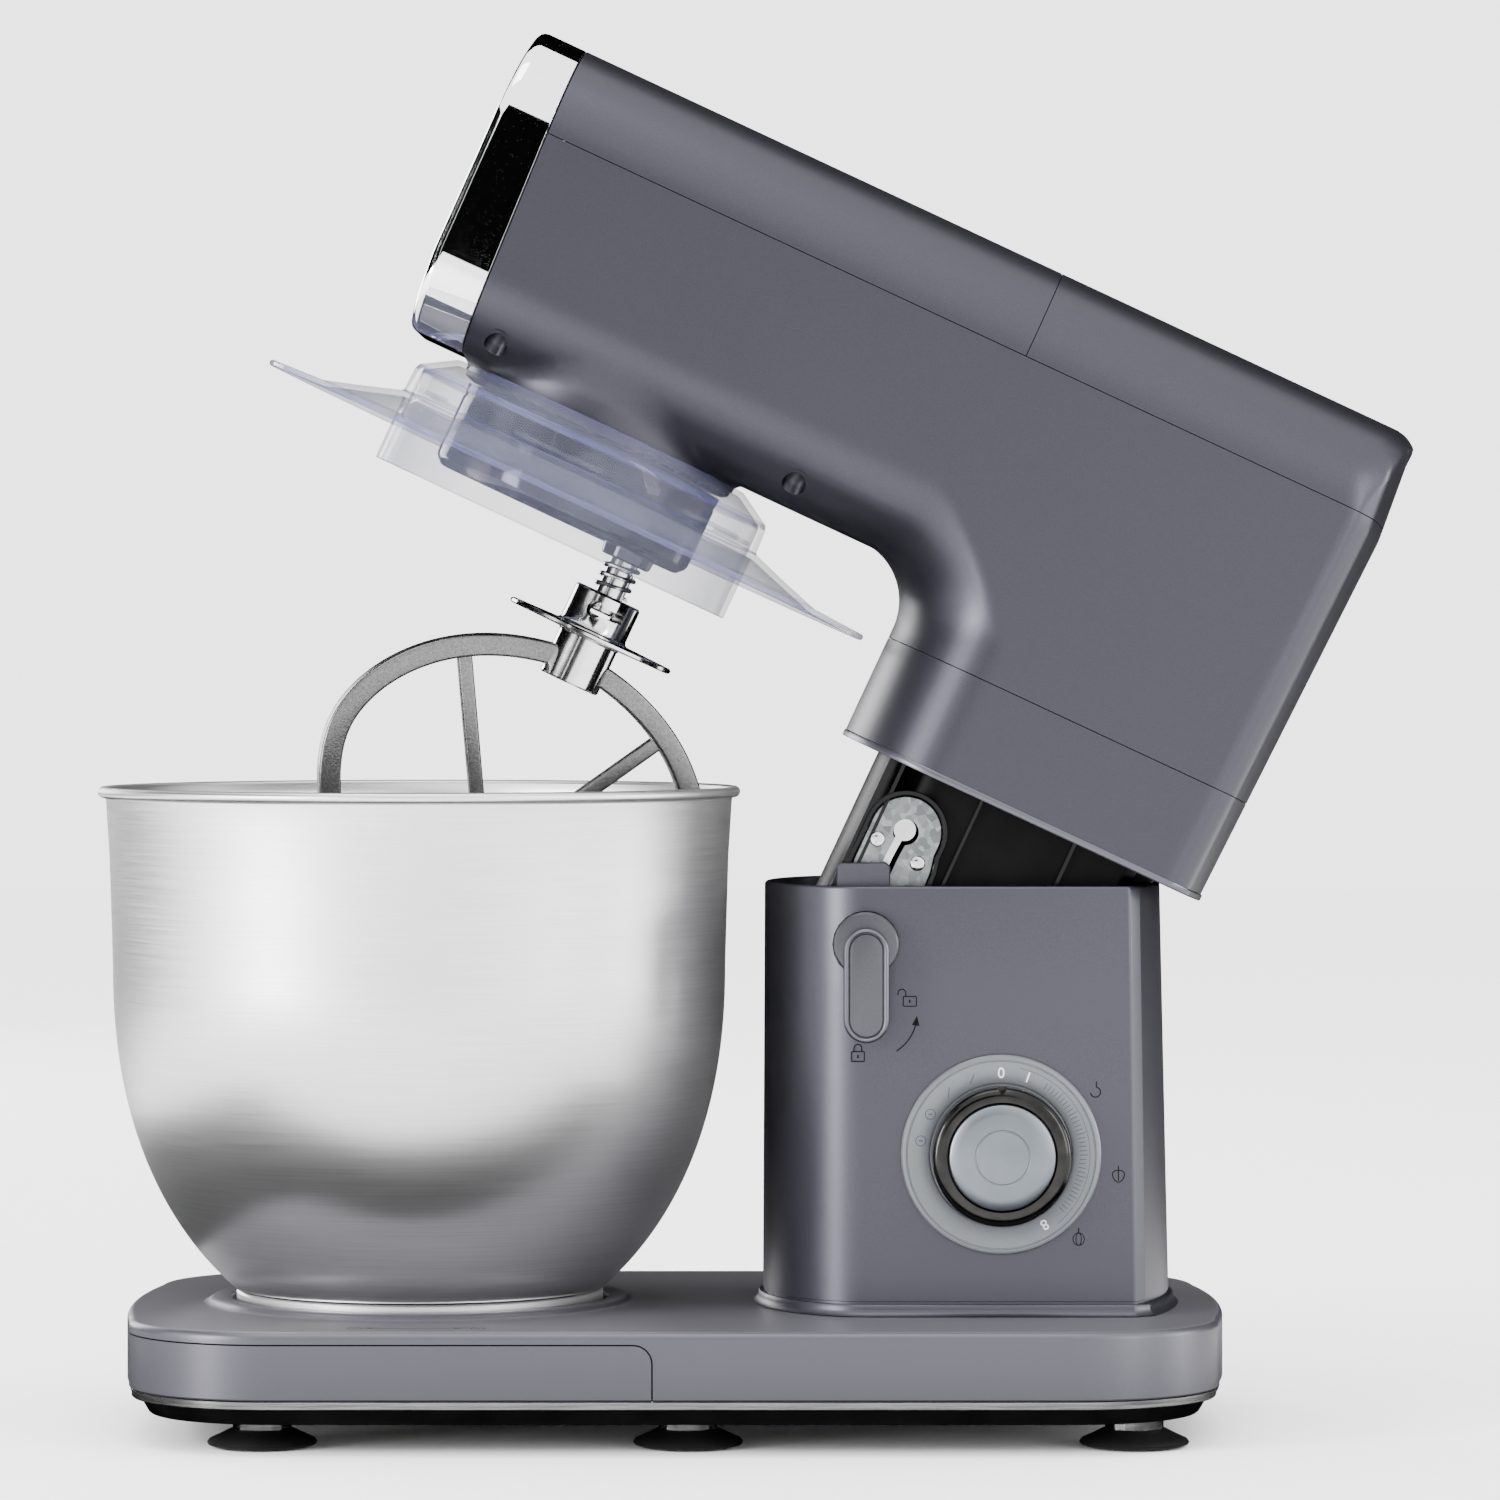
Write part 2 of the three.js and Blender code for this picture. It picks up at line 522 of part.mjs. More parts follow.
/** The flat beater: a leaf-shaped rim with a V of two ribs over a third, 7.5 mm thick. */
function beaterFrame() {
  const leaf = (inset) => {
    const shape = new THREE.Shape();
    shape.moveTo(0, 53 + inset);
    shape.bezierCurveTo(40 - inset, 53 + inset, 70.5 - inset, 92 + inset / 2, 70.5 - inset, 118);
    shape.bezierCurveTo(70.5 - inset, 138, 48 - inset / 2, 172 - inset, 0, 175 - inset);
    shape.bezierCurveTo(inset / 2 - 48, 172 - inset, inset - 70.5, 138, inset - 70.5, 118);
    shape.bezierCurveTo(inset - 70.5, 92 + inset / 2, inset - 40, 53 + inset, 0, 53 + inset);
    return shape;
  };
  const rim = cut(alongY(leaf(0), -3.75, 3.75, 10), alongY(leaf(7.5), -5, 5, 10));
  const rib = (length, angle, x, z) => {
    const bar = new THREE.BoxGeometry(5, 5, length).translate(0, 0, length / 2).rotateY(angle);
    return solid(bar.translate(x, 0, z));
  };
  const vee = [1, -1].map((side) => rib(70, side * 0.55, 0, 96));
  const whole = join(rim, ...vee, rib(45, 0, 0, 56));
  return cut(whole, disc(11.1, 150, 190)).rotate([0, 0, 13]).translate([BEATER_X, 0, 0]);
}

// ---------------------------------------------------------------- motor and belt
const reductionPulley = () => cut(join(disc(PULLEY.big, PULLEY.low, PULLEY.high, PINION_X, 0, 32),
  disc(4, 275, PULLEY.low + 1, PINION_X)), disc(PULLEY.big - 6, 331, 350, PINION_X));

const pinion = () => gear(GEAR.pinion, 281, 291, 4.3, PINION_X, Math.PI / GEAR.pinion);

const motorPulley = () => washer(3.3, PULLEY.small, PULLEY.low, PULLEY.high, MOTOR_X, 0, 24);

function motorBody() {
  const can = cut(disc(38, 243, 318, MOTOR_X, 0, 28), disc(31, 247, 314, MOTOR_X, 0, 28));
  const windows = [0, 1].map((turn) => {
    const bar = new THREE.BoxGeometry(90, 14, 24).rotateZ(turn * Math.PI / 2);
    return solid(bar.translate(MOTOR_X, 0, 280));
  });
  return cut(can, ...windows, disc(3.4, 230, 330, MOTOR_X, 0, 24));
}

const motorRotor = () => join(disc(22, 252, 309, MOTOR_X), disc(3, 244, 345, MOTOR_X));

const coolingFan = () => {
  const hub = washer(3.3, 8, 319, 325.5, MOTOR_X);
  const blades = [];
  for (let blade = 0; blade < 8; blade++) {
    const fin = new THREE.BoxGeometry(24, 1.6, 6).rotateX(0.5).translate(18, 0, 322.3);
    blades.push(solid(fin.rotateZ(blade * Math.PI / 4).translate(MOTOR_X, 0, 0)));
  }
  return join(hub, ...blades);
};

/** The loop of belt around two pulleys, grown by offset. */
function beltOutline(offset) {
  const [big, small] = [PULLEY.big + offset, PULLEY.small + offset];
  const lean = Math.asin((big - small) / (MOTOR_X - PINION_X));
  const shape = new THREE.Shape();
  shape.absarc(PINION_X, 0, big, Math.PI / 2 - lean, 1.5 * Math.PI + lean, false);
  shape.absarc(MOTOR_X, 0, small, lean - Math.PI / 2, Math.PI / 2 - lean, false);
  return shape;
}

const driveBelt = () => cut(prism(beltOutline(2), 329, 339, 0, 8), prism(beltOutline(GAP), 320, 350, 0, 8));

/** The clear splash guard: a drum that clips round the hub, with a wide flat brim. */
const splashGuard = () => turned([[64.2, 206], [66, 206], [66, 220.2], [93, 220.2], [112.6, 219.2],
  [112.6, 221.4], [93, 222.6], [68, 230.5], [66.8, 240.6], [54, 248.2], [50.6, 248.2], [50.6, 246],
  [64, 239], [64.2, 206]], BOWL_X, 0, 28);

// ---------------------------------------------------------------- assembly
const mixer = new THREE.Group();
const headTurn = new THREE.Group();
headTurn.position.set(HINGE.x, 0, HINGE.z);
headTurn.rotation.y = TILT;
const head = new THREE.Group();
head.position.set(-HINGE.x, 0, -HINGE.z);
headTurn.add(head);
mixer.add(headTurn);

function place(group, name, material, manifold) {
  const mesh = new THREE.Mesh(geometryOf(manifold), material());
  mesh.name = name;
  group.add(mesh);
  return mesh;
}

place(mixer, 'base_cover', looks.body, baseCover());
place(mixer, 'base_front_panel', looks.body, baseFrontPanel());
place(mixer, 'base_trim_strip', looks.strip, baseTrimStrip());
place(mixer, 'base_bottom_plate', looks.black, baseBottomPlate());
place(mixer, 'bowl_lock_plate', looks.black, bowlLockPlate());
FEET.xs.forEach((x, column) => [-1, 1].forEach((side, row) => {
  place(mixer, `foot_${2 * column + row + 1}`, looks.rubber, foot(x, side * FEET.y));
}));
place(mixer, 'column_shell', looks.body, columnShell());
place(mixer, 'column_top_deck', looks.black, columnTopDeck());
place(mixer, 'hinge_bracket_near', looks.zinc, hingeBracket(-1));
place(mixer, 'hinge_bracket_far', looks.zinc, hingeBracket(1));
place(mixer, 'hinge_pin', looks.steel, hingePin());
place(mixer, 'lever_bush', looks.black, leverBush());
place(mixer, 'dial_bezel', looks.body, dialBezel());
place(mixer, 'control_board', looks.board, controlBoard());
place(mixer, 'speed_switch', looks.black, speedSwitch());
const gland = place(mixer, 'cord_gland', looks.black, cordGland());
gland.rotation.z = Math.PI / 2;
gland.position.set(GLAND.x, 0, GLAND.z);

place(mixer, 'dial_ring', looks.chrome, dialRing());
place(mixer, 'dial_cap', looks.strip, dialCap());
place(mixer, 'dial_shaft', looks.nylon, dialShaft());
place(mixer, 'lever_arm', looks.body, leverArm());
place(mixer, 'lever_insert', looks.body, leverInsert());
place(mixer, 'lock_pin', looks.zinc, lockPin());
place(mixer, 'bowl', looks.steel, bowl());
place(mixer, 'bowl_foot', looks.steel, bowlFoot());

place(head, 'head_housing', looks.body, headHousing());
place(head, 'top_cover_front', looks.body, topCoverFront());
place(head, 'top_cover_rear', looks.body, topCoverRear());
place(head, 'head_skirt', looks.body, headSkirt());
place(head, 'skirt_lip', looks.strip, skirtLip());
place(head, 'front_band', looks.chrome, frontBand());
place(head, 'front_panel', looks.black, frontPanel());
place(head, 'neck_frame', looks.black, neckFrame());
place(head, 'lock_plate', looks.zinc, lockPlate());
place(head, 'lock_screw_1', looks.steel, lockScrew(LOCK_SCREWS[0]));
place(head, 'lock_screw_2', looks.steel, lockScrew(LOCK_SCREWS[1]));
SCREWS.forEach((at, i) => place(head, `housing_screw_${i + 1}`, looks.steel, housingScrew(at)));
place(head, 'ring_gear', looks.zinc, ringGear());
place(head, 'gearbox_plate', looks.cast, gearboxPlate());
place(head, 'motor_body', looks.steel, motorBody());
place(head, 'drive_belt', looks.rubber, driveBelt());
place(head, 'splash_guard', looks.clear, splashGuard());

place(head, 'planetary_hub', looks.chrome, planetaryHub());
place(head, 'main_gear', looks.nylon, mainGear());
place(head, 'beater_shaft', looks.steel, beaterShaft());
place(head, 'planet_gear', looks.zinc, planetGear());
place(head, 'beater_hub', looks.steel, beaterHub());
place(head, 'beater_frame', looks.cast, beaterFrame());
place(head, 'reduction_pulley', looks.black, reductionPulley());
place(head, 'pinion', looks.nylon, pinion());
place(head, 'motor_rotor', looks.copper, motorRotor());
place(head, 'motor_pulley', looks.steel, motorPulley());
place(head, 'cooling_fan', looks.nylon, coolingFan());

export default mixer;
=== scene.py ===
"""The looks of the tilt-head stand mixer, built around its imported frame.

Lengths are in millimetres until a mesh is made. Pieces of the head are drawn level, as for mixing,
and LEVEL_TO_REST tips them back with the head.
"""

import json
import math

import bmesh
import bpy
import numpy as np
from mathutils import Matrix, Vector

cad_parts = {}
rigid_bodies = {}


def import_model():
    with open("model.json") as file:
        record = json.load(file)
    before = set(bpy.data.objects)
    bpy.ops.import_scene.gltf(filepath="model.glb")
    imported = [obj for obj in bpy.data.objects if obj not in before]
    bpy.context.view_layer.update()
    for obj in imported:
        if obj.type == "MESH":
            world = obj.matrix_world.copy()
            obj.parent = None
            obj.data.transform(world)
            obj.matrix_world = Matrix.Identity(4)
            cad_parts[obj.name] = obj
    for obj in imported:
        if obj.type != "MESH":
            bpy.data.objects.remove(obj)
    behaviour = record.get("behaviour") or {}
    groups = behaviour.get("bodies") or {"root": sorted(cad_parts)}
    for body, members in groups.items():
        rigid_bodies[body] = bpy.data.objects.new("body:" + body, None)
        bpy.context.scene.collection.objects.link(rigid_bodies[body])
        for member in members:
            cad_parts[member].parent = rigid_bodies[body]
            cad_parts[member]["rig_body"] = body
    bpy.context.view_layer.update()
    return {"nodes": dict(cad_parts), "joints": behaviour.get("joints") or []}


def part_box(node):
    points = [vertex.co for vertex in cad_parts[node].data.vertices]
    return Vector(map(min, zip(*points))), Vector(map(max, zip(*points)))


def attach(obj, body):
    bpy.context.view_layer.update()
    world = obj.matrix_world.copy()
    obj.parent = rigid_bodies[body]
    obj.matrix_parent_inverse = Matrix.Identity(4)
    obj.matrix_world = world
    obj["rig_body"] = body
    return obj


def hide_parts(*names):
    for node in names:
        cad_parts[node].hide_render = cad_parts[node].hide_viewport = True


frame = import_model()

# ---------------------------------------------------------------- places taken from the frame
MM = 0.001
WELD = 1e-7  # points closer than this, in metres, are one
SHARP = 32  # an edge with a larger angle than this is sharp
HEAD_BODIES = ("head", "carrier", "beater")  # their pieces are drawn level
JOINTS = {joint["name"]: joint for joint in frame["joints"]}


def spot(joint):
    """A joint's place, in millimetres."""
    return [value / MM for value in JOINTS[joint]["pos_m"]]


def size(node):
    """A node's lowest and highest corner, in millimetres."""
    low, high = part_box(node)
    return low / MM, high / MM


HINGE_X, _, HINGE_Z = spot("head_tilt")
TILT = math.radians(JOINTS["head_tilt"]["range_deg"][1])
HINGE = Matrix.Translation((HINGE_X, 0, HINGE_Z))
LEVEL_TO_REST = HINGE @ Matrix.Rotation(TILT, 4, "Y") @ HINGE.inverted()
BOWL_X = spot("bowl_twist")[0]
DIAL_X, _, DIAL_Z = spot("speed_dial")
LEVER_X, _, LEVER_Z = spot("lock_lever")
LIFT = 0.3  # the gap that separates two neighbouring pieces


def level_spot(joint):
    """Where a head joint's axis stands when the head is level."""
    return (LEVEL_TO_REST.inverted() @ Vector(spot(joint))).x


BEATER_X = level_spot("beater_spin")

# ---------------------------------------------------------------- node materials


class Shader:
    """One material and short ways to add nodes to it."""

    def __init__(self, name, **sockets):
        self.material = bpy.data.materials.new(name)
        self.material.use_nodes = True
        self.nodes = self.material.node_tree.nodes
        self.links = self.material.node_tree.links
        self.surface = self.nodes["Principled BSDF"]
        for socket, value in sockets.items():
            self.surface.inputs[socket.replace("_", " ")].default_value = value

    def node(self, kind, inputs=(), **settings):
        made = self.nodes.new(kind)
        for key, value in settings.items():
            setattr(made, key, value)
        for key, value in dict(inputs).items():
            if isinstance(value, bpy.types.NodeSocket):
                self.links.new(value, made.inputs[key])
            else:
                made.inputs[key].default_value = value
        return made

    def place(self, scale=(1, 1, 1)):
        """Object coordinates, stretched."""
        coords = self.node("ShaderNodeTexCoord")
        mapping = self.node("ShaderNodeMapping", {"Vector": coords.outputs["Object"], "Scale": scale})
        return mapping.outputs[0]

    def noise(self, vector, scale, detail=2.0):
        made = self.node("ShaderNodeTexNoise", {"Vector": vector, "Scale": scale, "Detail": detail})
        return made.outputs["Fac"]

    def blend(self, factor, low, high):
        """Turns a 0 to 1 factor into a value from low to high."""
        made = self.node("ShaderNodeMapRange", {"Value": factor, "To Min": low, "To Max": high})
        return made.outputs["Result"]

    def tint(self, factor, low, high, start=0.3, end=0.7):
        made = self.node("ShaderNodeValToRGB", {"Fac": factor})
        ramp = made.color_ramp
        ramp.elements[0].position, ramp.elements[1].position = start, end
        ramp.elements[0].color, ramp.elements[1].color = (*low, 1), (*high, 1)
        return made.outputs["Color"]

    def drive(self, socket, value):
        self.links.new(value, self.surface.inputs[socket])

    def bump(self, height, strength, distance):
        made = self.node("ShaderNodeBump", {"Height": height, "Strength": strength, "Distance": distance})
        self.drive("Normal", made.outputs["Normal"])

    def coat(self, colour, roughness, bump=None):
        """Sets colour and roughness as (texture, low, high) and bump as (texture, strength, distance)."""
        self.drive("Base Color", self.tint(*colour))
        self.drive("Roughness", self.blend(*roughness))
        if bump:
            self.bump(*bump)
        return self.material


def lacquer(name, low, high, roughness, metallic=0.85):
    """Satin metallic lacquer: fine flakes in the colour, a faint orange peel, a soft clear coat."""
    shader = Shader(name, Metallic=metallic, Coat_Weight=0.12, Coat_Roughness=0.35)
    space = shader.place()
    flakes, broad = shader.noise(space, 5200, 1), shader.noise(space, 14, 3)
    peel = shader.noise(space, 900, 2)
    return shader.coat((flakes, low, high), (broad, roughness - 0.03, roughness + 0.04), (peel, 0.05, 0.0004))


def moulded(name, low, high, roughness, grain=1600, sheen=0.4):
    """Moulded plastic with a fine spark-eroded grain; sheen is how strongly it reflects."""
    shader = Shader(name, Specular_IOR_Level=sheen)
    space = shader.place()
    broad, fine = shader.noise(space, 60, 4), shader.noise(space, grain, 2)
    return shader.coat((broad, low, high), (fine, roughness - 0.07, roughness + 0.07), (fine, 0.12, 0.0003))


def brushed(name, low, high, roughness, stretch, anisotropy=0.7, scale=1.0, depth=0.1):
    """Metal brushed across the direction in which stretch is largest; depth is how deep the lines are."""
    shader = Shader(name, Metallic=0.97, Anisotropic=anisotropy)
    lines = shader.noise(shader.place(stretch), 900 * scale, 4)
    broad = shader.noise(shader.place(), 9, 2)
    mixed = shader.node("ShaderNodeMath", {0: lines, 1: broad}, operation="MULTIPLY").outputs[0]
    gloss = (mixed, roughness - 0.08, roughness + 0.14)
    return shader.coat((lines, low, high), gloss, (lines, depth, 0.0003))


def plated(name, low, high, roughness):
    """Polished or plated metal with faint polishing haze."""
    shader = Shader(name, Metallic=1.0)
    space = shader.place()
    haze, waves = shader.noise(space, 160, 5), shader.noise(space, 35, 2)
    return shader.coat((haze, low, high), (haze, roughness * 0.6, roughness * 1.5), (waves, 0.03, 0.0006))


def cast_metal():
    """Fine cast aluminium, tumbled smooth."""
    shader = Shader("cast_aluminium", Metallic=1.0)
    space = shader.place()
    pores, broad = shader.noise(space, 1400, 3), shader.noise(space, 120, 4)
    grey = (pores, (0.1, 0.1, 0.102), (0.17, 0.17, 0.172))
    return shader.coat(grey, (broad, 0.22, 0.38), (pores, 0.16, 0.0004))


def zinc_plate():
    """Zinc plating: crystal patches of slightly different greys."""
    shader = Shader("zinc_plating", Metallic=1.0)
    cells = shader.node("ShaderNodeTexVoronoi", {"Vector": shader.place(), "Scale": 420}).outputs["Color"]
    grey = shader.node("ShaderNodeRGBToBW", {"Color": cells}).outputs[0]
    return shader.coat((grey, (0.1, 0.106, 0.11), (0.23, 0.245, 0.25), 0.1, 0.9), (grey, 0.24, 0.42))


def clear_plastic(name, low, high, cover, rim):
    """Clear polycarbonate with a faint moulding haze: see-through face on, denser edge on."""
    shader = Shader(name, IOR=1.45)
    haze = shader.noise(shader.place(), 40, 3)
    slant = shader.node("ShaderNodeLayerWeight", {"Blend": 0.3}).outputs["Facing"]
    shader.drive("Alpha", shader.blend(slant, cover, rim))
    return shader.coat((haze, low, high), (haze, 0.02, 0.08))


def rubber():
    """Dull black rubber with a fine grain."""
    shader = Shader("rubber", Specular_IOR_Level=0.12)
    space = shader.place()
    broad, grain = shader.noise(space, 30, 4), shader.noise(space, 2200, 2)
    black = (broad, (0.003, 0.003, 0.003), (0.009, 0.009, 0.009))
    return shader.coat(black, (shader.noise(space, 300, 3), 0.5, 0.75), (grain, 0.15, 0.0003))


def ink(name, colour, sheen):
    """Pad printing: a slightly uneven film."""
    shader = Shader(name, Specular_IOR_Level=sheen)
    space = shader.place()
    thin = tuple(value * 0.85 for value in colour)
    return shader.coat((shader.noise(space, 1500, 2), thin, colour), (shader.noise(space, 700, 2), 0.4, 0.55))


BODY = lacquer("graphite_lacquer", (0.028, 0.0275, 0.036), (0.044, 0.043, 0.055), 0.37)
# Painted light: the column and base lacquers are lighter, less metallic copies of the head's, so the stand
# grows brighter towards the bottom.
TOWER = lacquer("tower_lacquer_painted_lighter", (0.03, 0.0295, 0.039), (0.045, 0.0435, 0.0565), 0.37, 0.72)
PLINTH = lacquer("plinth_lacquer_painted_lighter", (0.046, 0.0445, 0.057), (0.066, 0.064, 0.08), 0.39, 0.5)
# Painted light: a lighter copy of the plinth lacquer for the base's upward faces, so the top reads lighter
# than its face.
PLINTH_TOP_PAINTED_LIGHT = lacquer("plinth_top_painted_light_lacquer", (0.07, 0.068, 0.08), (0.097, 0.094, 0.109), 0.42, 0.3)
LIP = lacquer("lip_lacquer", (0.066, 0.064, 0.08), (0.092, 0.089, 0.11), 0.33)
PAD = lacquer("lever_pad_lacquer", (0.044, 0.044, 0.051), (0.062, 0.062, 0.071), 0.36)
DIAL_PLATE = lacquer("dial_plate_lacquer", (0.1, 0.107, 0.118), (0.14, 0.149, 0.163), 0.38, 0.6)
DIAL_GLOSS = plated("dial_grip_gloss", (0.016, 0.016, 0.016), (0.03, 0.029, 0.028), 0.17)
SILVER = brushed("satin_silver", (0.17, 0.17, 0.17), (0.25, 0.25, 0.25), 0.24, (0.05, 0.05, 1), 0.3)
CAP = brushed("spun_cap", (0.115, 0.128, 0.145), (0.16, 0.175, 0.195), 0.42, (0.05, 1, 0.05), 0.4)
STEEL = brushed("brushed_steel", (0.54, 0.54, 0.545), (0.63, 0.63, 0.635), 0.36, (0.012, 0.012, 1),
                anisotropy=0.75, scale=2.6, depth=0.05)
STEEL_PLAIN = plated("turned_steel", (0.5, 0.5, 0.51), (0.62, 0.62, 0.63), 0.16)
CHROME = plated("chrome", (0.86, 0.86, 0.88), (0.93, 0.93, 0.94), 0.035)
SOFT_CHROME = plated("soft_chrome", (0.6, 0.6, 0.6), (0.72, 0.72, 0.72), 0.11)
# Painted reflection: the hub's chrome is coloured near black, standing in for the dark surroundings it
# reflects.
HUB_CHROME = plated("hub_chrome_painted_dark_reflection", (0.022, 0.023, 0.031), (0.034, 0.035, 0.046), 0.08)
CAST = cast_metal()
ZINC = zinc_plate()
CLEAR = clear_plastic("clear_plastic", (0.12, 0.125, 0.18), (0.17, 0.175, 0.24), 0.12, 0.5)
# Painted shade: a darker, denser copy of the clear plastic for the guard's narrow rims, standing in for the
# dark lines that light bent at the rims draws.
CLEAR_EDGE = clear_plastic("clear_edge_painted_shade", (0.07, 0.075, 0.17), (0.1, 0.105, 0.23), 0.34, 0.8)
RUBBER = rubber()
BLACK = moulded("black_plastic", (0.0012, 0.0012, 0.0014), (0.0028, 0.0028, 0.003), 0.34, 1600, 0.05)
GLOSS_BLACK = moulded("gloss_black", (0.002, 0.002, 0.002), (0.004, 0.004, 0.005), 0.14, 500, 0.16)
NYLON = moulded("nylon", (0.6, 0.57, 0.47), (0.72, 0.69, 0.6), 0.5)
BOARD = moulded("laminate", (0.01, 0.09, 0.035), (0.02, 0.14, 0.06), 0.4)
COPPER = plated("copper", (0.55, 0.24, 0.12), (0.7, 0.34, 0.2), 0.25)
PRINT_DARK = ink("dark_print", (0.004, 0.004, 0.005), 0.06)
PRINT_PALE = ink("pale_print", (0.7, 0.7, 0.74), 0.5)
PRINT_FAINT = ink("faint_print", (0.035, 0.045, 0.075), 0.2)

CAD_LOOKS = {
    "control_board": BOARD, "speed_switch": BLACK, "dial_shaft": NYLON, "lock_pin": ZINC,
    "lever_bush": BLACK, "hinge_bracket_near": ZINC, "hinge_bracket_far": ZINC,
    "hinge_pin": STEEL_PLAIN, "bowl_lock_plate": BLACK, "ring_gear": ZINC, "gearbox_plate": CAST,
    "motor_body": STEEL_PLAIN, "drive_belt": RUBBER, "main_gear": NYLON, "planet_gear": ZINC,
    "reduction_pulley": BLACK, "pinion": NYLON, "motor_rotor": COPPER, "motor_pulley": STEEL_PLAIN,
    "cooling_fan": NYLON,
}
for node_name, look in CAD_LOOKS.items():
    mesh = frame["nodes"][node_name].data
    mesh.materials.clear()
    mesh.materials.append(look)

# ---------------------------------------------------------------- meshes


def solid(name, mesh, body):
    """An object made of (points, faces) in millimetres, tipped back if its body belongs to the head."""
    made = bmesh.new()
    tip = LEVEL_TO_REST if body in HEAD_BODIES else Matrix.Identity(4)
    verts = [made.verts.new((tip @ Vector(point)) * MM) for point in mesh[0]]
    for face in mesh[1]:
        made.faces.new([verts[i] for i in face])
    bmesh.ops.remove_doubles(made, verts=made.verts, dist=WELD)
    bmesh.ops.recalc_face_normals(made, faces=made.faces)
    data = bpy.data.meshes.new(name)
    made.to_mesh(data)
    made.free()
    obj = bpy.data.objects.new(name, data)
    bpy.context.scene.collection.objects.link(obj)
    return obj


def piece(name, mesh, body, look, slot, *replaces, sharp=SHARP):
    """Makes a piece that rides on a body and hides the nodes that it replaces."""
    obj = solid(name, mesh, body)
    obj.data.materials.append(look)
    obj.data.shade_smooth()
    obj.data.set_sharp_from_angle(angle=math.radians(sharp))
    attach(obj, body)
    if replaces:
        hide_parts(*replaces)
    return obj


def grid_faces(rows, columns, closed=False):
    """Quads between rings of points: columns to a ring, and the last ring joined to the first if closed."""
    faces = []
    for r in range(rows if closed else rows - 1):
        for c in range(columns):
            here, after, beside = r * columns, (r + 1) % rows * columns, (c + 1) % columns
            faces.append((here + c, here + beside, after + beside, after + c))
    return faces


def loft(rings, caps=False, closed=False):
    """Points and faces through rings that hold the same number of points."""
    rings = [np.asarray(ring, float) for ring in rings]
    count = len(rings[0])
    faces = grid_faces(len(rings), count, closed)
    if caps:
        last = (len(rings) - 1) * count
        faces += [tuple(range(count)), tuple(range(last, last + count))]
    return np.concatenate(rings), faces


def turned(profile, x=0, y=0, segments=96, axis="Z"):
    """Points and faces of [radius, height] pairs turned about an axis through (x, y), or (x, z) for Y."""
    angles = np.linspace(0, 2 * math.pi, segments, endpoint=False)
    rows = []
    for radius, height in profile:
        a, b = x + radius * np.cos(angles), y + radius * np.sin(angles)
        level = np.full(segments, height)
        rows.append(np.stack([a, b, level] if axis == "Z" else [a, level, b], axis=1))
    return np.concatenate(rows), grid_faces(len(rows), segments)


def rounded(corners, steps=6, closed=False):
    """A path through [x, y, radius] corners, each replaced by an arc of that radius."""
    path = []
    count = len(corners)
    for i, (x, y, radius) in enumerate(corners):
        at = np.array([x, y], float)
        if radius <= 0 or (not closed and i in (0, count - 1)):
            path.append(at)
            continue
        before = np.array(corners[i - 1][:2], float) - at
        after = np.array(corners[(i + 1) % count][:2], float) - at
        before, after = before / np.linalg.norm(before), after / np.linalg.norm(after)
        half = math.acos(max(-1, min(1, float(before @ after)))) / 2
        reach = radius / math.tan(half)
        middle = at + (before + after) / np.linalg.norm(before + after) * radius / math.sin(half)
        start, end = at + before * reach - middle, at + after * reach - middle
        sweep = math.atan2(start[0] * end[1] - start[1] * end[0], float(start @ end))
        for step in range(steps + 1):
            turn = sweep * step / steps
            c, s = math.cos(turn), math.sin(turn)
            path.append(middle + np.array([c * start[0] - s * start[1], s * start[0] + c * start[1]]))
    return np.array(path)


def rectangle(x0, y0, x1, y1, radius=0, steps=6):
    """A rectangle with round corners."""
    corners = [(x, y, radius) for x, y in ((x0, y0), (x1, y0), (x1, y1), (x0, y1))]
    return rounded(corners, steps, closed=True)


def arc(x, y, radius, start, end, steps):
    """Points on an arc, in degrees, with both ends."""
    angles = np.radians(np.linspace(start, end, steps + 1))
    return np.stack([x + radius * np.cos(angles), y + radius * np.sin(angles)], axis=1)


def flat_ring(outline, z):
    """An outline in X and Y, lifted to a height."""
    return np.column_stack([outline, np.full(len(outline), z)])


def prism(outline, low, high, edge=0.0):
    """An upright prism in X and Y whose two ends are chamfered by edge, through rings of its outline."""
    centre = outline.mean(axis=0)
    reach = np.linalg.norm(outline - centre, axis=1)[:, None]
    inner = centre + (outline - centre) * (1 - edge / reach)
    rings = [flat_ring(inner, low), flat_ring(outline, low + edge), flat_ring(outline, high - edge),
             flat_ring(inner, high)]
    return loft(rings, caps=True)


def stack(outline, steps, **ends):
    """A loft through the rings that outline(inset) gives, each at its height: steps are (inset, z)."""
    return loft([flat_ring(outline(inset), z) for inset, z in steps], **ends)


def facing(mesh):
    """Turns a mesh drawn in X and Y, with depth in Z, to stand upright and face -Y."""
    points, faces = mesh
    return np.column_stack([points[:, 0], -points[:, 2], points[:, 1]]), faces


def bake(obj):
    """Applies a piece's modifiers."""
    dg = bpy.context.evaluated_depsgraph_get()
    data = bpy.data.meshes.new_from_object(obj.evaluated_get(dg))
    obj.modifiers.clear()
    old, obj.data = obj.data, data
    data.name = obj.name
    bpy.data.meshes.remove(old)
    data.shade_smooth()
    data.set_sharp_from_angle(angle=math.radians(SHARP))


def cut(obj, mesh, operation="DIFFERENCE"):
    """Cuts a piece with a mesh, or joins the two, or keeps what they share."""
    tool = solid("tool", mesh, obj["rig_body"])
    modifier = obj.modifiers.new("cut", "BOOLEAN")
    modifier.object, modifier.operation, modifier.solver = tool, operation, "EXACT"
    bake(obj)
    bpy.data.objects.remove(tool)
    return obj


# ---------------------------------------------------------------- outlines
BASE = {"x0": -209, "x1": 157.8, "half": 107.5, "corner": 50, "bulge": 4.5}


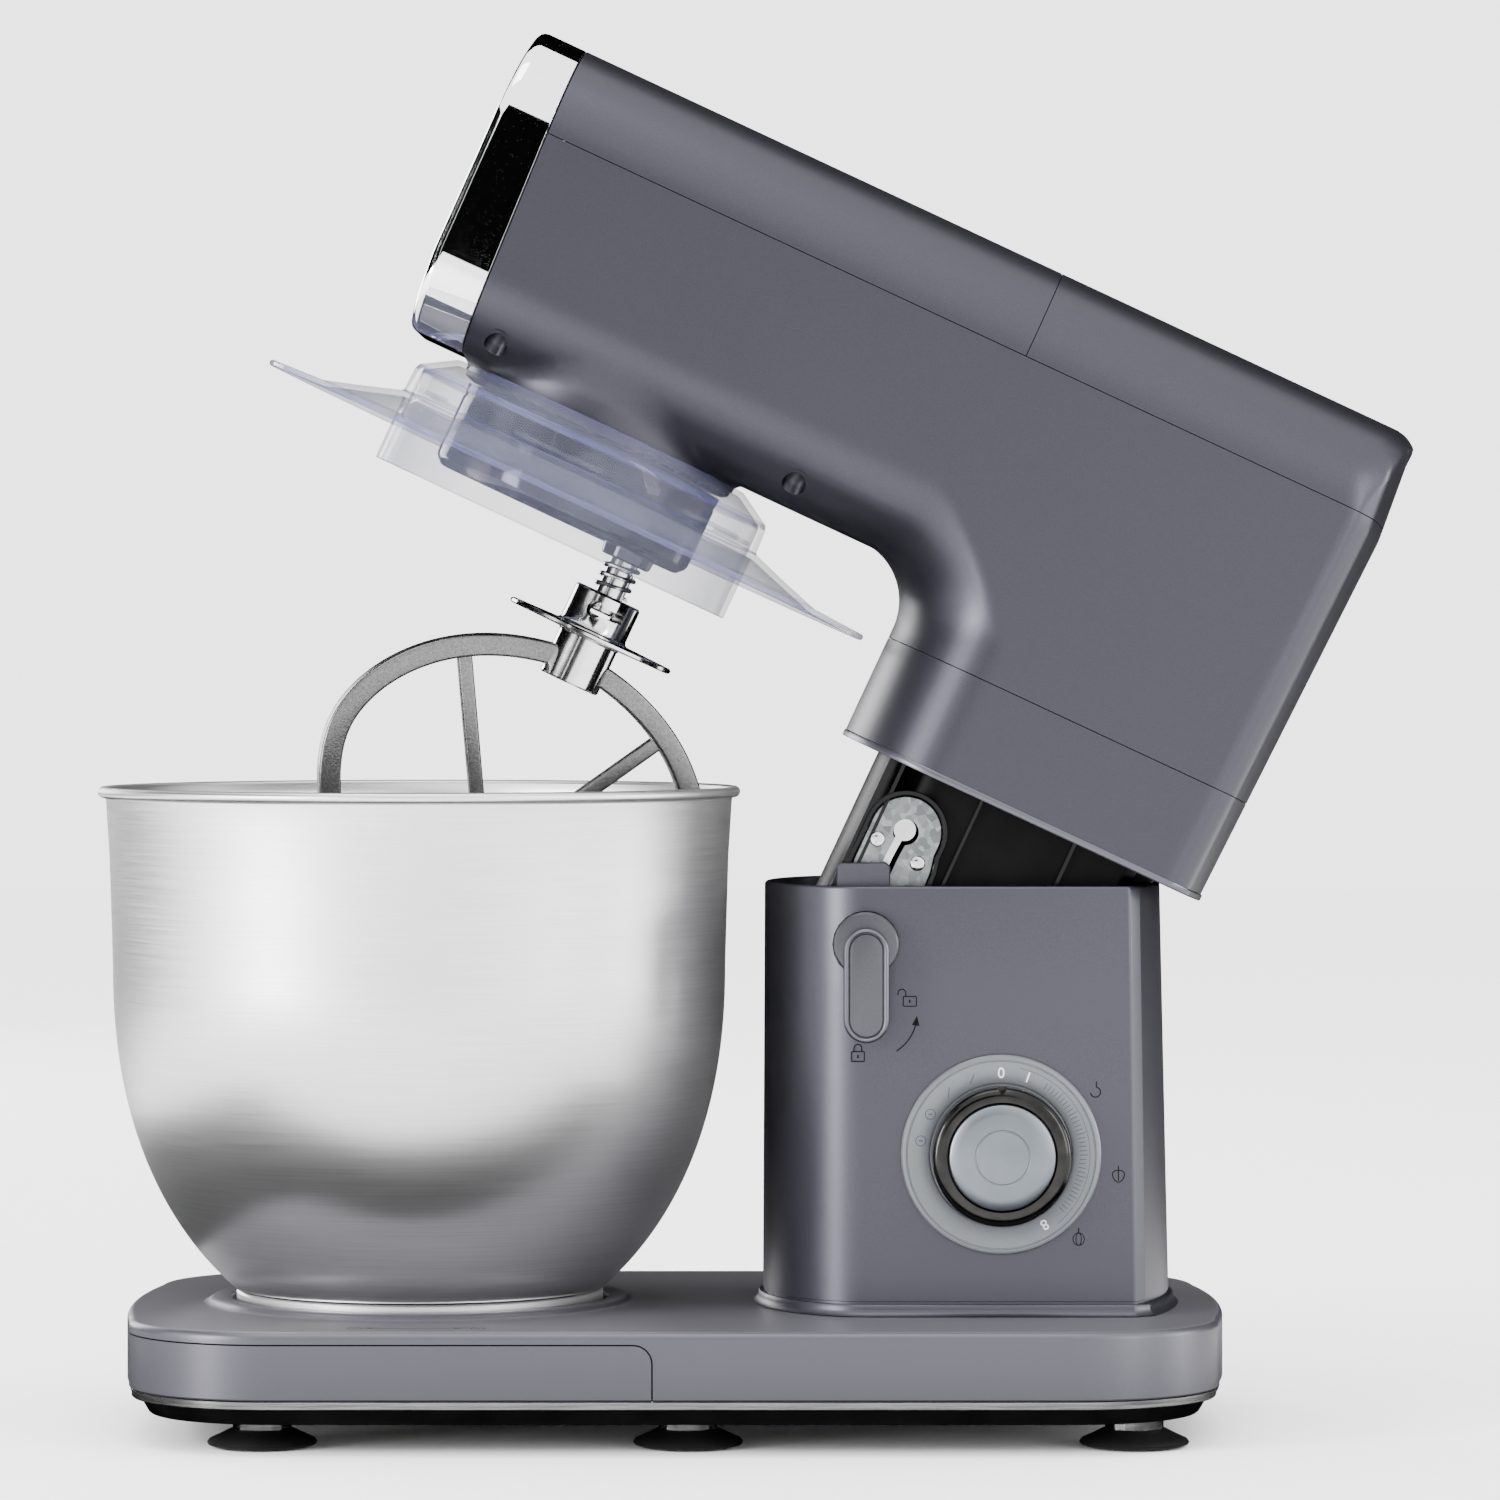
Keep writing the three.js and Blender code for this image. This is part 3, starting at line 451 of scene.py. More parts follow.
def base_outline(inset=0.0):
    """The base seen from above: four rounded corners and two bowed ends."""
    left, right = BASE["x0"] + inset, BASE["x1"] - inset
    half, r = BASE["half"] - inset, BASE["corner"] - inset
    along = np.linspace(0, 1, 26)[1:-1]
    bow = 4 * BASE["bulge"] * along * (1 - along)
    rise = (2 * along - 1) * (half - r)
    side = np.linspace(left + r, right - r, 60)[1:-1]
    return np.concatenate([
        arc(right - r, half - r, r, 0, 90, 24), np.column_stack([side[::-1], np.full(len(side), half)]),
        arc(left + r, half - r, r, 90, 180, 24), np.column_stack([left - bow, -rise]),
        arc(left + r, r - half, r, 180, 270, 24), np.column_stack([side, np.full(len(side), -half)]),
        arc(right - r, r - half, r, 270, 360, 24), np.column_stack([right + bow, rise]),
    ])


COLUMN = {"tip": 5, "shoulder": 40, "flat": 128, "edge": 132.7, "edge_y": 51, "rear": 140.8, "half": 56}
NECK = {"tip": 6.5, "shoulder": 42, "flat": 129, "edge": 134.8, "edge_y": 51, "rear": 143, "half": 56}


def tower_outline(plan, inset=0.0, corner=1.6):
    """The D-shaped plan of the column and neck: half an ellipse in front, a bowed back."""
    half, edge = plan["half"] - inset, plan["edge"] - inset
    edge_y, flat = plan["edge_y"] - inset, plan["flat"]
    front = np.radians(np.linspace(90, 270, 57))
    reach = plan["shoulder"] - plan["tip"] - inset
    nose = [(plan["shoulder"] + reach * math.cos(a), half * math.sin(a), 0) for a in front]
    bow = [(edge + (plan["rear"] - inset - edge) * (1 - t * t), t * edge_y, 0)
           for t in np.linspace(-1, 1, 25)[1:-1]]
    corners = [*nose, (flat, -half, corner), (edge, -edge_y, corner), *bow, (edge, edge_y, corner),
               (flat, half, corner)]
    return rounded(corners, 4, closed=True)


# ---------------------------------------------------------------- base
BOSS = [(0, 35.2), (67.8, 35.2), (76, 38.4), (76, 40.85), (74.3, 41.1), (73.1, 41.6), (72.2, 42.3),
        (71.5, 42.85), (70.6, 43.05), (66, 43.05), (65.1, 42.7), (64.7, 42), (64.7, 38.2), (0, 38.2)]


def panel_block(shrink):
    """The region of the base that the front panel takes up, seen from the side, with one round corner."""
    outline = rounded([(-400, -20, 0), (-32 - shrink, -20, 0), (-32 - shrink, 36.9 - shrink, 6.5 - shrink),
                       (-400, 36.9 - shrink, 0)], 8, closed=True)
    near = np.column_stack([outline[:, 0], np.full(len(outline), -200), outline[:, 1]])
    return loft([near, near + [0, 400, 0]], caps=True)


def base_shell(name, look, replaces):
    edge = [(2.6 * (1 - math.cos(a)), 38.4 + 2.6 * math.sin(a)) for a in np.radians(range(15, 91, 15))]
    outside = stack(base_outline, [(0.5, 18.2), (0, 18.7), (0, 38.4), *edge], caps=True)
    shell = piece(name, outside, "stand", look, "body", replaces)
    return cut(shell, stack(base_outline, [(3, 10), (3, 37.8)], caps=True))


base_cover = base_shell("base_cover_skin", PLINTH, "base_cover")
cut(base_cover, turned([*BOSS, BOSS[0]], BOWL_X, 0, 160), "UNION")
cut(base_cover, panel_block(0))
# Painted light: faces that look up take the lighter lacquer; the rounded edge and the face keep the plinth
# lacquer.
base_cover.data.materials.append(PLINTH_TOP_PAINTED_LIGHT)
for face in base_cover.data.polygons:
    face.material_index = int(face.normal.z > 0.8)
cut(base_shell("base_panel_skin", PLINTH, "base_front_panel"), panel_block(0.5), "INTERSECT")

STRIP = [(6, 15), (1.3, 15), (0.9, 15.4), (0.9, 17.7), (1.3, 18.1), (6, 18.1)]
piece("trim_strip", stack(base_outline, STRIP, closed=True), "stand", SILVER, "strip", "base_trim_strip")
PLATE = [(9, 9.5), (7.4, 9.6), (6.6, 10.2), (4.6, 13.6), (4.2, 14.8)]
bottom_plate = piece("bottom_plate", stack(base_outline, PLATE, caps=True), "stand", BLACK, "black_plastic",
                     "base_bottom_plate")
for slot in range(6):
    x = 60 + 8 * slot
    cut(bottom_plate, prism(rectangle(x, -30, x + 4, 30, 1.9, 4), 5, 20))

CUP = [(0, 2), (9, 1.4), (14.5, 0.3), (16.6, 0), (18, 0.5), (18.4, 1.3), (17.6, 2.3), (15.8, 3.1),
       (13.6, 4.1), (11.9, 5), (10.9, 5.5), (0, 5.5)]
COLLAR = [(0, 5.4), (9.2, 5.4), (9.8, 5.8), (9.8, 8.9), (9.4, 9.3), (0, 9.3)]
for number in range(1, 7):
    low, high = size(f"foot_{number}")
    x, y = (low.x + high.x) / 2, (low.y + high.y) / 2
    piece(f"suction_cup_{number}", turned(CUP, x, y, 72), "stand", RUBBER, "rubber", f"foot_{number}")
    piece(f"foot_collar_{number}", turned(COLLAR, x, y, 16), "stand", STEEL_PLAIN, "rubber", sharp=12)

# ---------------------------------------------------------------- column
TOWER_TOP, TOWER_FOOT = 184.8, 41.3
LIP_Z = [41.3, 41.8, 42.6, 43.6, 44.7, 45.05, 45.15, 45.9, 46.1]
LIP_REACH = [3.2, 2.4, 1.8, 1.5, 1.4, 1.1, -0.4, -0.4, 0]


def column_ring(z, inset=0.0):
    """The column's outline at a height: it widens downwards a little and ends in a groove and a lip."""
    down = (TOWER_TOP - z) / (TOWER_TOP - TOWER_FOOT)
    plan = {"tip": 5.1 - 0.65 * down, "shoulder": 40, "flat": 127.8 + 2 * down, "edge": 131.5 + 2.1 * down,
            "edge_y": 51 + 0.6 * down, "rear": 141.1 + 3.3 * down, "half": 56 + 0.6 * down}
    return flat_ring(tower_outline(plan, inset - float(np.interp(z, LIP_Z, LIP_REACH))), z)


turns = np.radians([20, 45, 70, 90, 110, 135, 160])
rim = [(1.1 - 1.1 * math.cos(a), 184.9 + 1.1 * math.sin(a)) for a in turns]
column_rings = [column_ring(z) for z in [*LIP_Z, 80, 115, 150, TOWER_TOP]]
column_rings += [column_ring(z, inset) for inset, z in rim]
column_rings += [column_ring(z, 2.2) for z in (TOWER_TOP, 140, 95, 46.1)]
column_rings.append(column_ring(TOWER_FOOT, 2.2 + LIP_REACH[0]))
piece("column_skin", loft(column_rings, closed=True), "stand", TOWER, "body", "column_shell", sharp=40)

deck_hole = {"tip": 13, "shoulder": 42, "flat": 127, "edge": 128, "edge_y": 44, "rear": 133, "half": 46}
deck_rings = [flat_ring(tower_outline(COLUMN, 2.4), 178), flat_ring(tower_outline(deck_hole), 178),
              flat_ring(tower_outline(deck_hole), 174), flat_ring(tower_outline(COLUMN, 2.4), 174)]
deck = piece("column_deck", loft(deck_rings, closed=True), "stand", BLACK, "black_plastic",
             "column_top_deck")
for corners in ((100, -48, 160, 48), (22, -60, 110, -30)):
    cut(deck, prism(rectangle(*corners), 170, 182))

tab = rounded([(29.2, 160, 0), (47.4, 160, 0), (47.4, 193.7, 2), (29.2, 193.7, 2)], 5, closed=True)
piece("pin_guide", facing(prism(tab, 44.4, 48.4, 0.5)), "stand", TOWER, "body")

# ---------------------------------------------------------------- lever


def lever_outline(inset):
    """A bar with round ends below the lever's axis."""
    r = 7.6 - inset
    ends = [arc(LEVER_X, LEVER_Z - 1.8, r, 0, 180, 24), arc(LEVER_X, LEVER_Z - 25.2, r, 180, 360, 24)]
    return np.concatenate(ends)


ARM = [(0.4, 60.4), (0, 60.9), (0, 66.2), (0.25, 66.7), (0.7, 67), (1.2, 67), (1.5, 66.8), (1.6, 66.4),
       (1.6, 65.2)]
piece("lever_body", facing(stack(lever_outline, ARM, caps=True)), "lever", LIP, "body", "lever_arm")
INSERT = [(1.9, 65.3), (1.9, 66.1), (2.2, 66.45), (2.8, 66.6)]
piece("lever_pad", facing(stack(lever_outline, INSERT, caps=True)), "lever", PAD, "body", "lever_insert")
HUB = [(0, -62), (9.4, -62), (10.4, -61.8), (10.9, -61.3), (11, -60.6), (11, -58.6), (4.6, -58.6),
       (4.6, -49), (0, -49)]
piece("lever_hub", turned(HUB, LEVER_X, LEVER_Z, 96, "Y"), "lever", PAD, "body")

# ---------------------------------------------------------------- dial
BEZEL = [(14.6, -56.3), (33.7, -56.3), (33.7, -57.7), (33.2, -58.3), (32.5, -58.5), (32.05, -58.5),
         (31.9, -58.1), (31.6, -58.1), (31.45, -58.5), (24.8, -58.5), (24.1, -58.2), (23.9, -57.4),
         (14.6, -57.4), (14.6, -56.3)]
piece("bezel", turned(BEZEL, DIAL_X, DIAL_Z, 128, "Y"), "stand", DIAL_PLATE, "body", "dial_bezel")
RING = [(18.1, -64.2), (18.1, -69.9), (18.5, -70.4), (20.5, -70.5), (22.1, -70.2), (23, -69.4),
        (23.4, -68.3), (23.4, -59.3), (23, -59), (4.4, -59), (4.4, -64.2), (18.1, -64.2)]
knob = piece("dial_grip", turned(RING, DIAL_X, DIAL_Z, 128, "Y"), "dial", DIAL_GLOSS, "chrome", "dial_ring")
notch = arc(DIAL_X, DIAL_Z + 23.2, 1.5, 0, 360, 24)[:-1]
cut(knob, facing(prism(notch, 64, 75)))
CAP_PROFILE = [(0, -72.3), (8.75, -72.25), (8.95, -72.05), (9.2, -72.05), (9.4, -72.22), (14, -72.05),
               (16.9, -71.75), (17.6, -71.3), (17.85, -70.6), (17.85, -64.5), (0, -64.5)]
piece("dial_face", turned(CAP_PROFILE, DIAL_X, DIAL_Z, 128, "Y"), "dial", CAP, "strip", "dial_cap")

# ---------------------------------------------------------------- printing


def ribbon(path, width):
    """A flat strip along a path."""
    path = np.asarray(path, float)
    along = np.gradient(path, axis=0)
    along /= np.linalg.norm(along, axis=1)[:, None]
    side = np.column_stack([-along[:, 1], along[:, 0]]) * width / 2
    count = len(path)
    faces = [(i, i + 1, count + i + 1, count + i) for i in range(count - 1)]
    return np.concatenate([path + side, path - side]), faces


def printed(name, parts, place, body, look, slot):
    """Flat shapes, each as points and faces, printed on a surface."""
    points, faces = [], []
    for part_points, part_faces in parts:
        faces += [tuple(len(points) + i for i in face) for face in part_faces]
        points += [place(x, y) for x, y in part_points]
    return piece(name, (points, faces), body, look, slot)


def padlock(x, y, scale, opened):
    """A padlock's outline and keyhole."""
    body = rectangle(x - 2 * scale, y, x + 2 * scale, y + 3 * scale, 0.3, 3)
    shift = -2.4 * scale if opened else 0
    bow = [(x + shift + 1.2 * scale * math.cos(a), y + 4 * scale + 1.2 * scale * math.sin(a))
           for a in np.radians(np.linspace(0, 180, 13))]
    free_end = 3.4 if opened else 3
    legs = [(x + shift + 1.2 * scale, y + 3 * scale), *bow, (x + shift - 1.2 * scale, y + free_end * scale)]
    width = 0.34 * scale
    return [ribbon([*body, body[0], body[1]], width), ribbon(legs, width),
            ribbon([(x, y + 1 * scale), (x, y + 2 * scale)], width * 1.4)]


def pointer(tip, direction, length):
    """A filled arrowhead."""
    tip, direction = np.array(tip, float), np.array(direction, float)
    direction /= np.linalg.norm(direction)
    side = np.array([-direction[1], direction[0]]) * length * 0.38
    return np.array([tip, tip - direction * length + side, tip - direction * length - side]), [(0, 1, 2)]


def on_column(x, z):
    return x, -56.08 - 0.6 * (TOWER_TOP - z) / (TOWER_TOP - TOWER_FOOT), z


def on_base(x, y):
    return x, y, 41.06


def on_bezel(x, z):
    return x, -58.56, z


swing = arc(41.6, 142.9, 14.6, -58, -8, 24)
marks = [*padlock(36.3, 127, 1.1, False), *padlock(53.8, 145.6, 1.1, True), ribbon(swing, 0.45),
         pointer(swing[-1] + [0.2, 1.6], (0.14, 1), 3.4)]
printed("lever_marks", marks, on_column, "stand", PRINT_DARK, "body")
along = np.linspace(-126, -97, 16)
marks = [*padlock(-131, -97, 1.1, False), *padlock(-90, -97, 1.1, True),
         ribbon(np.column_stack([along, -96.5 + 0.012 * (along + 111.5) ** 2]), 0.8),
         pointer((-93.8, -94), (1, 0.2), 4.2), pointer((-129, -94), (-1, 0.2), 4.2)]
printed("base_marks", marks, on_base, "stand", PRINT_DARK, "body")


def round_dial(angle, radius):
    """A point on the dial's plate, with its angle taken clockwise from the top."""
    turn = math.radians(angle)
    return np.array([DIAL_X + radius * math.sin(turn), DIAL_Z + radius * math.cos(turn)])


def numeral(text, angle, radius, height):
    """A numeral from Blender's own font, standing on the dial's plate."""
    curve = bpy.data.curves.new("numeral", "FONT")
    curve.body, curve.size, curve.align_x, curve.align_y = text, height, "CENTER", "CENTER"
    holder = bpy.data.objects.new("numeral", curve)
    bpy.context.scene.collection.objects.link(holder)
    mesh = holder.evaluated_get(bpy.context.evaluated_depsgraph_get()).to_mesh()
    turn, centre = math.radians(-angle), round_dial(angle, radius)
    c, s = math.cos(turn), math.sin(turn)
    points = [centre + [c * v.co.x - s * v.co.y, s * v.co.x + c * v.co.y] for v in mesh.vertices]
    faces = [tuple(face.vertices) for face in mesh.polygons]
    bpy.data.objects.remove(holder)
    return points, faces


numerals = [numeral("0", 0, 27.5, 5), numeral("1", 19, 27.5, 5), numeral("8", 148, 27.5, 5)]
printed("dial_numerals", numerals, on_bezel, "stand", PRINT_PALE, "strip")
ticks = [ribbon([round_dial(a, 26.4), round_dial(a, 28.8 if a % 15 else 29.4)], 0.22)
         for a in range(33, 135, 3)]
scale_line = [ribbon([round_dial(a, 29.9) for a in range(12, 142, 2)], 0.16)]
pulse = [ribbon([round_dial(a - 2.5, 26.3), round_dial(a + 2.5, 28.7)], 0.3) for a in (-40, -21)]
for angle in (-60, -80):
    centre = round_dial(angle, 27.5)
    pulse.append(ribbon([centre + 1.7 * np.array([math.cos(t), math.sin(t)])
                         for t in np.linspace(0, 2 * math.pi, 25)], 0.28))
    pulse.append(ribbon([centre - [0.7, 0], centre + [0.7, 0]], 0.4))
printed("dial_ticks", [*ticks, *scale_line, *pulse], on_bezel, "stand", PRINT_FAINT, "strip")


def tool_mark(angle, radius, kind):
    """A small outline of an attachment beside the dial: a leaf, a whisk or a hook."""
    x, z = round_dial(angle, radius)
    turn = np.linspace(0, 2 * math.pi, 25)
    if kind == "leaf":
        loop = [(x + 2 * math.sin(t), z + 2 * math.cos(t) - 0.3 * math.cos(2 * t)) for t in turn]
        return [ribbon(loop, 0.35), ribbon([(x, z - 1.8), (x, z + 3.2)], 0.35)]
    if kind == "whisk":
        loops = [[(x + w * math.sin(t), z + 2.1 * math.cos(t) - 0.4) for t in turn] for w in (0.9, 1.9)]
        return [*(ribbon(loop, 0.3) for loop in loops), ribbon([(x, z + 1.6), (x, z + 3.4)], 0.4)]
    hook = [(x + 1.7 * math.sin(t), z - 0.4 + 1.7 * math.cos(t)) for t in np.linspace(0.2, 4.6, 21)]
    return [ribbon(hook, 0.4), ribbon([(x + 0.3, z + 1.2), (x + 0.3, z + 3.2)], 0.4)]


marks = [*tool_mark(56, 38.4, "hook"), *tool_mark(100, 40.2, "leaf"), *tool_mark(137, 38.4, "whisk")]
printed("tool_marks", marks, on_column, "stand", PRINT_DARK, "body")

# ---------------------------------------------------------------- bowl
BOWL_SHAPE = 46, 157, 105.5, 132.8, 2.2  # bottom, shoulder height and radius, curve depth and power


def bowl_side(inset):
    """The bowl's side from its flat bottom to just under its rim, drawn in by inset."""
    low, middle, wide, depth, power = BOWL_SHAPE
    path = [(0, low + inset), (30, low + inset), (56, low + inset + 0.1)]
    for t in np.linspace(0, 1, 34):
        z = low + (middle - low) * t ** 1.5
        r = wide * (1 - ((middle - z) / depth) ** power) ** (1 / power)
        path.append((r - inset, z + inset * (1 - t)))
    path += [(105.85 - inset, 170), (106.25 - inset, 183), (106.6 - inset, 195), (107.3 - inset, 206),
             (107.75 - inset, 213.4)]
    return path


roll = [(108.9 + 1.75 * math.cos(a), 216.75 + 1.85 * math.sin(a)) for a in np.radians(range(-75, 190, 15))]
bowl_path = [*bowl_side(0), (107.9, 214.6), *roll, (106.7, 215.6), *reversed(bowl_side(1.2))]
piece("bowl_skin", turned(bowl_path, BOWL_X, 0, 192), "bowl", STEEL, "steel", "bowl", sharp=50)
FOOT_RING = [(59, 38.4), (62.6, 38.4), (63.2, 39), (63.2, 44.6), (62.6, 45.4), (60, 45.4), (59, 44.6),
             (59, 38.4)]
piece("bowl_foot_ring", turned(FOOT_RING, BOWL_X, 0, 160), "bowl", STEEL, "steel", "bowl_foot")

# ---------------------------------------------------------------- head: distances and nets


def join(a, b, r):
    """The distance to two solids joined with a fillet."""
    return np.maximum(r, np.minimum(a, b)) - np.hypot(np.maximum(r - a, 0), np.maximum(r - b, 0))


def meet(a, b, r):
    """The distance to what two solids share, with its edge rounded."""
    return np.minimum(-r, np.maximum(a, b)) + np.hypot(np.maximum(a + r, 0), np.maximum(b + r, 0))


HEAD_TOP, HEAD_LOW, HEAD_HALF = 361.4, 250.4, 56.0
HEAD_MIDDLE = (HEAD_TOP + HEAD_LOW) / 2


def head_distance(x, y, z):
    """The distance from the outside of the level head: barrel, neck, the fillet between, and collar."""
    side = np.abs(y)
    radius = np.where(z > HEAD_MIDDLE, 33.0, 28.0)
    across = side - (HEAD_HALF - radius)
    upright = np.abs(z - HEAD_MIDDLE) - ((HEAD_TOP - HEAD_LOW) / 2 - radius)
    beyond = np.hypot(np.maximum(across, 0), np.maximum(upright, 0))
    section = beyond + np.minimum(np.maximum(across, upright), 0) - radius
    barrel = np.maximum(section, x - 100)
    a, b = NECK["shoulder"] - NECK["tip"], NECK["half"]
    ahead = np.minimum(x - NECK["shoulder"], 0)
    k0 = np.hypot(ahead / a, y / b)
    k1 = np.hypot(ahead / a ** 2, y / b ** 2) + 1e-9
    nose = np.where(ahead < 0, k0 * (k0 - 1) / k1, side - b)
    shift = 0.03 * (z - 187) - 1.5
    bow = np.where(x > 0, np.hypot(x - shift + 19.7, y) - 162.7, -50)
    chamfer = ((x - shift - NECK["flat"]) * 5 + (side - b) * 5.8) / 7.66
    rear = meet(bow, chamfer, 1.5)
    whole = join(barrel, meet(nose, rear, 1.2), 22.5)
    whole = np.maximum(whole, np.where(z > HEAD_MIDDLE, section, side - HEAD_HALF))
    whole = meet(whole, rear, np.interp(z, [325, 352], [1.2, 12]))
    collar = np.maximum(np.hypot(x - BOWL_X, y) - 49.8, np.maximum(243.6 - z, z - 300))
    return join(whole, collar, 5)


NUDGE = 0.02  # how far apart two distances are taken to find a slope


def surface_net(distance, low, high, step):
    """Quads on the zero surface of a distance, moved onto it, facing outwards."""
    axes = [np.arange(a, b, step) for a, b in zip(low, high)]
    grid = distance(*np.meshgrid(*axes, indexing="ij"))
    inside = grid < 0
    cells = np.array(grid.shape) - 1
    total = np.zeros((*cells, 3))
    count = np.zeros(cells)
    crossings = []
    for axis in range(3):
        first = tuple(slice(None, -1) if a == axis else slice(None) for a in range(3))
        second = tuple(slice(1, None) if a == axis else slice(None) for a in range(3))
        at = np.argwhere(inside[first] != inside[second])
        g0, g1 = grid[first][tuple(at.T)], grid[second][tuple(at.T)]
        point = at.astype(float)
        point[:, axis] += g0 / (g0 - g1)
        u, v = (axis + 1) % 3, (axis + 2) % 3
        around = []
        for du, dv in ((-1, -1), (0, -1), (0, 0), (-1, 0)):
            cell = at.copy()
            cell[:, u] += du
            cell[:, v] += dv
            real = np.all((cell >= 0) & (cell < cells), axis=1)
            np.add.at(total, tuple(cell[real].T), point[real])
            np.add.at(count, tuple(cell[real].T), 1)
            around.append(np.where(real, np.ravel_multi_index(np.clip(cell, 0, cells - 1).T, cells), -1))
        crossings.append((np.stack(around, axis=1), inside[first][tuple(at.T)]))
    used = count > 0
    number = np.full(cells, -1)
    number[used] = np.arange(used.sum())
    points = np.array([a[0] for a in axes]) + step * total[used] / count[used][:, None]
    faces = []
    for around, starts_inside in crossings:
        whole = np.all(around >= 0, axis=1)
        quads = number.ravel()[around[whole]]
        turned_round = ~starts_inside[whole]
        quads[turned_round] = quads[turned_round][:, ::-1]
        faces.append(quads)
    for _ in range(4):
        value = distance(*points.T)
        near = [distance(*(points + shift).T) for shift in np.eye(3) * NUDGE]
        slope = (np.stack(near, axis=1) - value[:, None]) / NUDGE
        points = points - slope * (value / np.maximum((slope ** 2).sum(axis=1), 0.2))[:, None]
    return points, np.concatenate(faces)


HEAD_POINTS, HEAD_FACES = surface_net(head_distance, (-184, -61, 184), (152, 62, 367), 2.2)


HEAD_WALL = 2.5


def head_part(name, planes, replaces):
    """A shell cut from the head's surface. A plane is a point and a normal that points at what goes."""
    data = bpy.data.meshes.new(name)
    data.from_pydata(HEAD_POINTS.tolist(), [], HEAD_FACES.tolist())
    made = bmesh.new()
    made.from_mesh(data)
    for point, normal in planes:
        whole = [*made.verts, *made.edges, *made.faces]
        bmesh.ops.bisect_plane(made, geom=whole, plane_co=point, plane_no=normal, clear_outer=True)
    bmesh.ops.transform(made, matrix=Matrix.Scale(MM, 4) @ LEVEL_TO_REST, verts=made.verts)
    made.to_mesh(data)
    made.free()
    data.materials.append(BODY)
    obj = bpy.data.objects.new(name, data)
    bpy.context.scene.collection.objects.link(obj)
    shell = obj.modifiers.new("wall", "SOLIDIFY")
    shell.thickness, shell.offset, shell.use_even_offset = HEAD_WALL * MM, -1, True
    bake(obj)
    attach(obj, "head")
    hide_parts(replaces)
    return obj


SEAM, SPLIT, SKIRT_TOP = 329.0, 7.4, 224.0
FRONT = ((-171.3, 0, HEAD_TOP), (-1, 0, -0.045))
ABOVE_SEAM = ((0, 0, SEAM), (0, 0, -1))
BELOW_SEAM = ((0, 0, SEAM - LIFT), (0, 0, 1))
ABOVE_SKIRT = ((0, 0, SKIRT_TOP + LIFT), (0, 0, -1))
housing = head_part("housing_skin", [BELOW_SEAM, ABOVE_SKIRT, FRONT], "head_housing")
head_part("cover_front_skin", [ABOVE_SEAM, ((SPLIT - LIFT / 2, 0, 0), (1, 0, 0)), FRONT], "top_cover_front")
head_part("cover_rear_skin", [ABOVE_SEAM, ((SPLIT + LIFT / 2, 0, 0), (-1, 0, 0))], "top_cover_rear")
head_part("skirt_skin", [((0, 0, SKIRT_TOP), (0, 0, 1)), ((0, 0, 189.6), (0, 0, -1))], "head_skirt")

SKIRT = {**NECK, "rear": 141.5, "edge": 133.3, "flat": 127.5}
SKIRT_EDGE = [(-0.1, 187.2), (-0.35, 187.6), (-0.35, 189.1), (-0.1, 189.5), (2.4, 189.5), (2.8, 189),
              (2.8, 187.6), (2.4, 187.2)]
piece("skirt_edge", stack(lambda inset: tower_outline(SKIRT, inset), SKIRT_EDGE, closed=True), "head", LIP,
      "strip", "skirt_lip")

# ---------------------------------------------------------------- head: screws, band and panel
SCREW_R, SCREW_SEAT = 4.1, 265.0


def skin_height(x, y):
    """Where the head's underside is above a point of its plan."""
    low, high = 240.0, 300.0
    for _ in range(30):
        middle = (low + high) / 2
        if head_distance(np.float64(x), np.float64(y), np.float64(middle)) > 0:
            low = middle
        else:
            high = middle
    return high


def crosshead(name, x, y, z, r, up, node, place=lambda mesh: mesh):
    """A screw head with a cross recess: up is 1 when it is drawn facing up and -1 when facing down."""
    dome = [(0, 0), (0.55, 0.05), (0.85, 0.35), (1, 0.9), (1, 1.6), (0, 1.6)]
    dome = [(r * part, z - up * down) for part, down in dome]
    screw = piece(name, place(turned(dome, x, y, 48)), "head", STEEL_PLAIN, "steel", node)
    for wide, deep in ((r * 0.62, r * 0.13), (r * 0.13, r * 0.62)):
        cut(screw, place(prism(rectangle(x - wide, y - deep, x + wide, y + deep), z - 0.8, z + 0.8)))


for number in range(1, 5):
    low, high = size(f"housing_screw_{number}")
    rest = LEVEL_TO_REST.inverted() @ ((low + high) / 2)
    x, y = min((-156.2, -45.2), key=lambda at: abs(at - rest.x)), math.copysign(46, rest.y)
    turn = np.linspace(0, 2 * math.pi, 48, endpoint=False)
    around = np.column_stack([x + SCREW_R * np.cos(turn), y + SCREW_R * np.sin(turn)])
    mouth = np.array([skin_height(*point) for point in around])
    outer = np.column_stack([x + 5.2 * np.cos(turn), y + 5.2 * np.sin(turn), mouth + 1.2])
    well = [outer, np.column_stack([around, mouth + 0.15]), flat_ring(around, SCREW_SEAT),
            flat_ring(around * 0.001 + [x * 0.999, y * 0.999], SCREW_SEAT)]
    piece(f"screw_well_{number}", loft(well), "head", BODY, "body")
    cut(housing, prism(around, 240, SCREW_SEAT + 0.3))
    crosshead(f"screw_{number}", x, y, SCREW_SEAT - 2.4, 3.4, -1, f"housing_screw_{number}")


def section_ring(x_of_z, inset=0.0, steps=14):
    """The head's cross-section as a ring, each point at the X that x_of_z gives for its height."""
    half, low, high = HEAD_HALF - inset, HEAD_LOW + inset, HEAD_TOP - inset
    top, bottom = 33 - inset, 28 - inset
    line = np.concatenate([
        arc(half - top, high - top, top, 0, 90, steps),
        arc(top - half, high - top, top, 90, 180, steps),
        arc(bottom - half, low + bottom, bottom, 180, 270, steps),
        arc(half - bottom, low + bottom, bottom, 270, 360, steps)])
    return np.column_stack([[x_of_z(z) for z in line[:, 1]], line])


def band_back(z):
    return -171.7 + 0.045 * (HEAD_TOP - z)


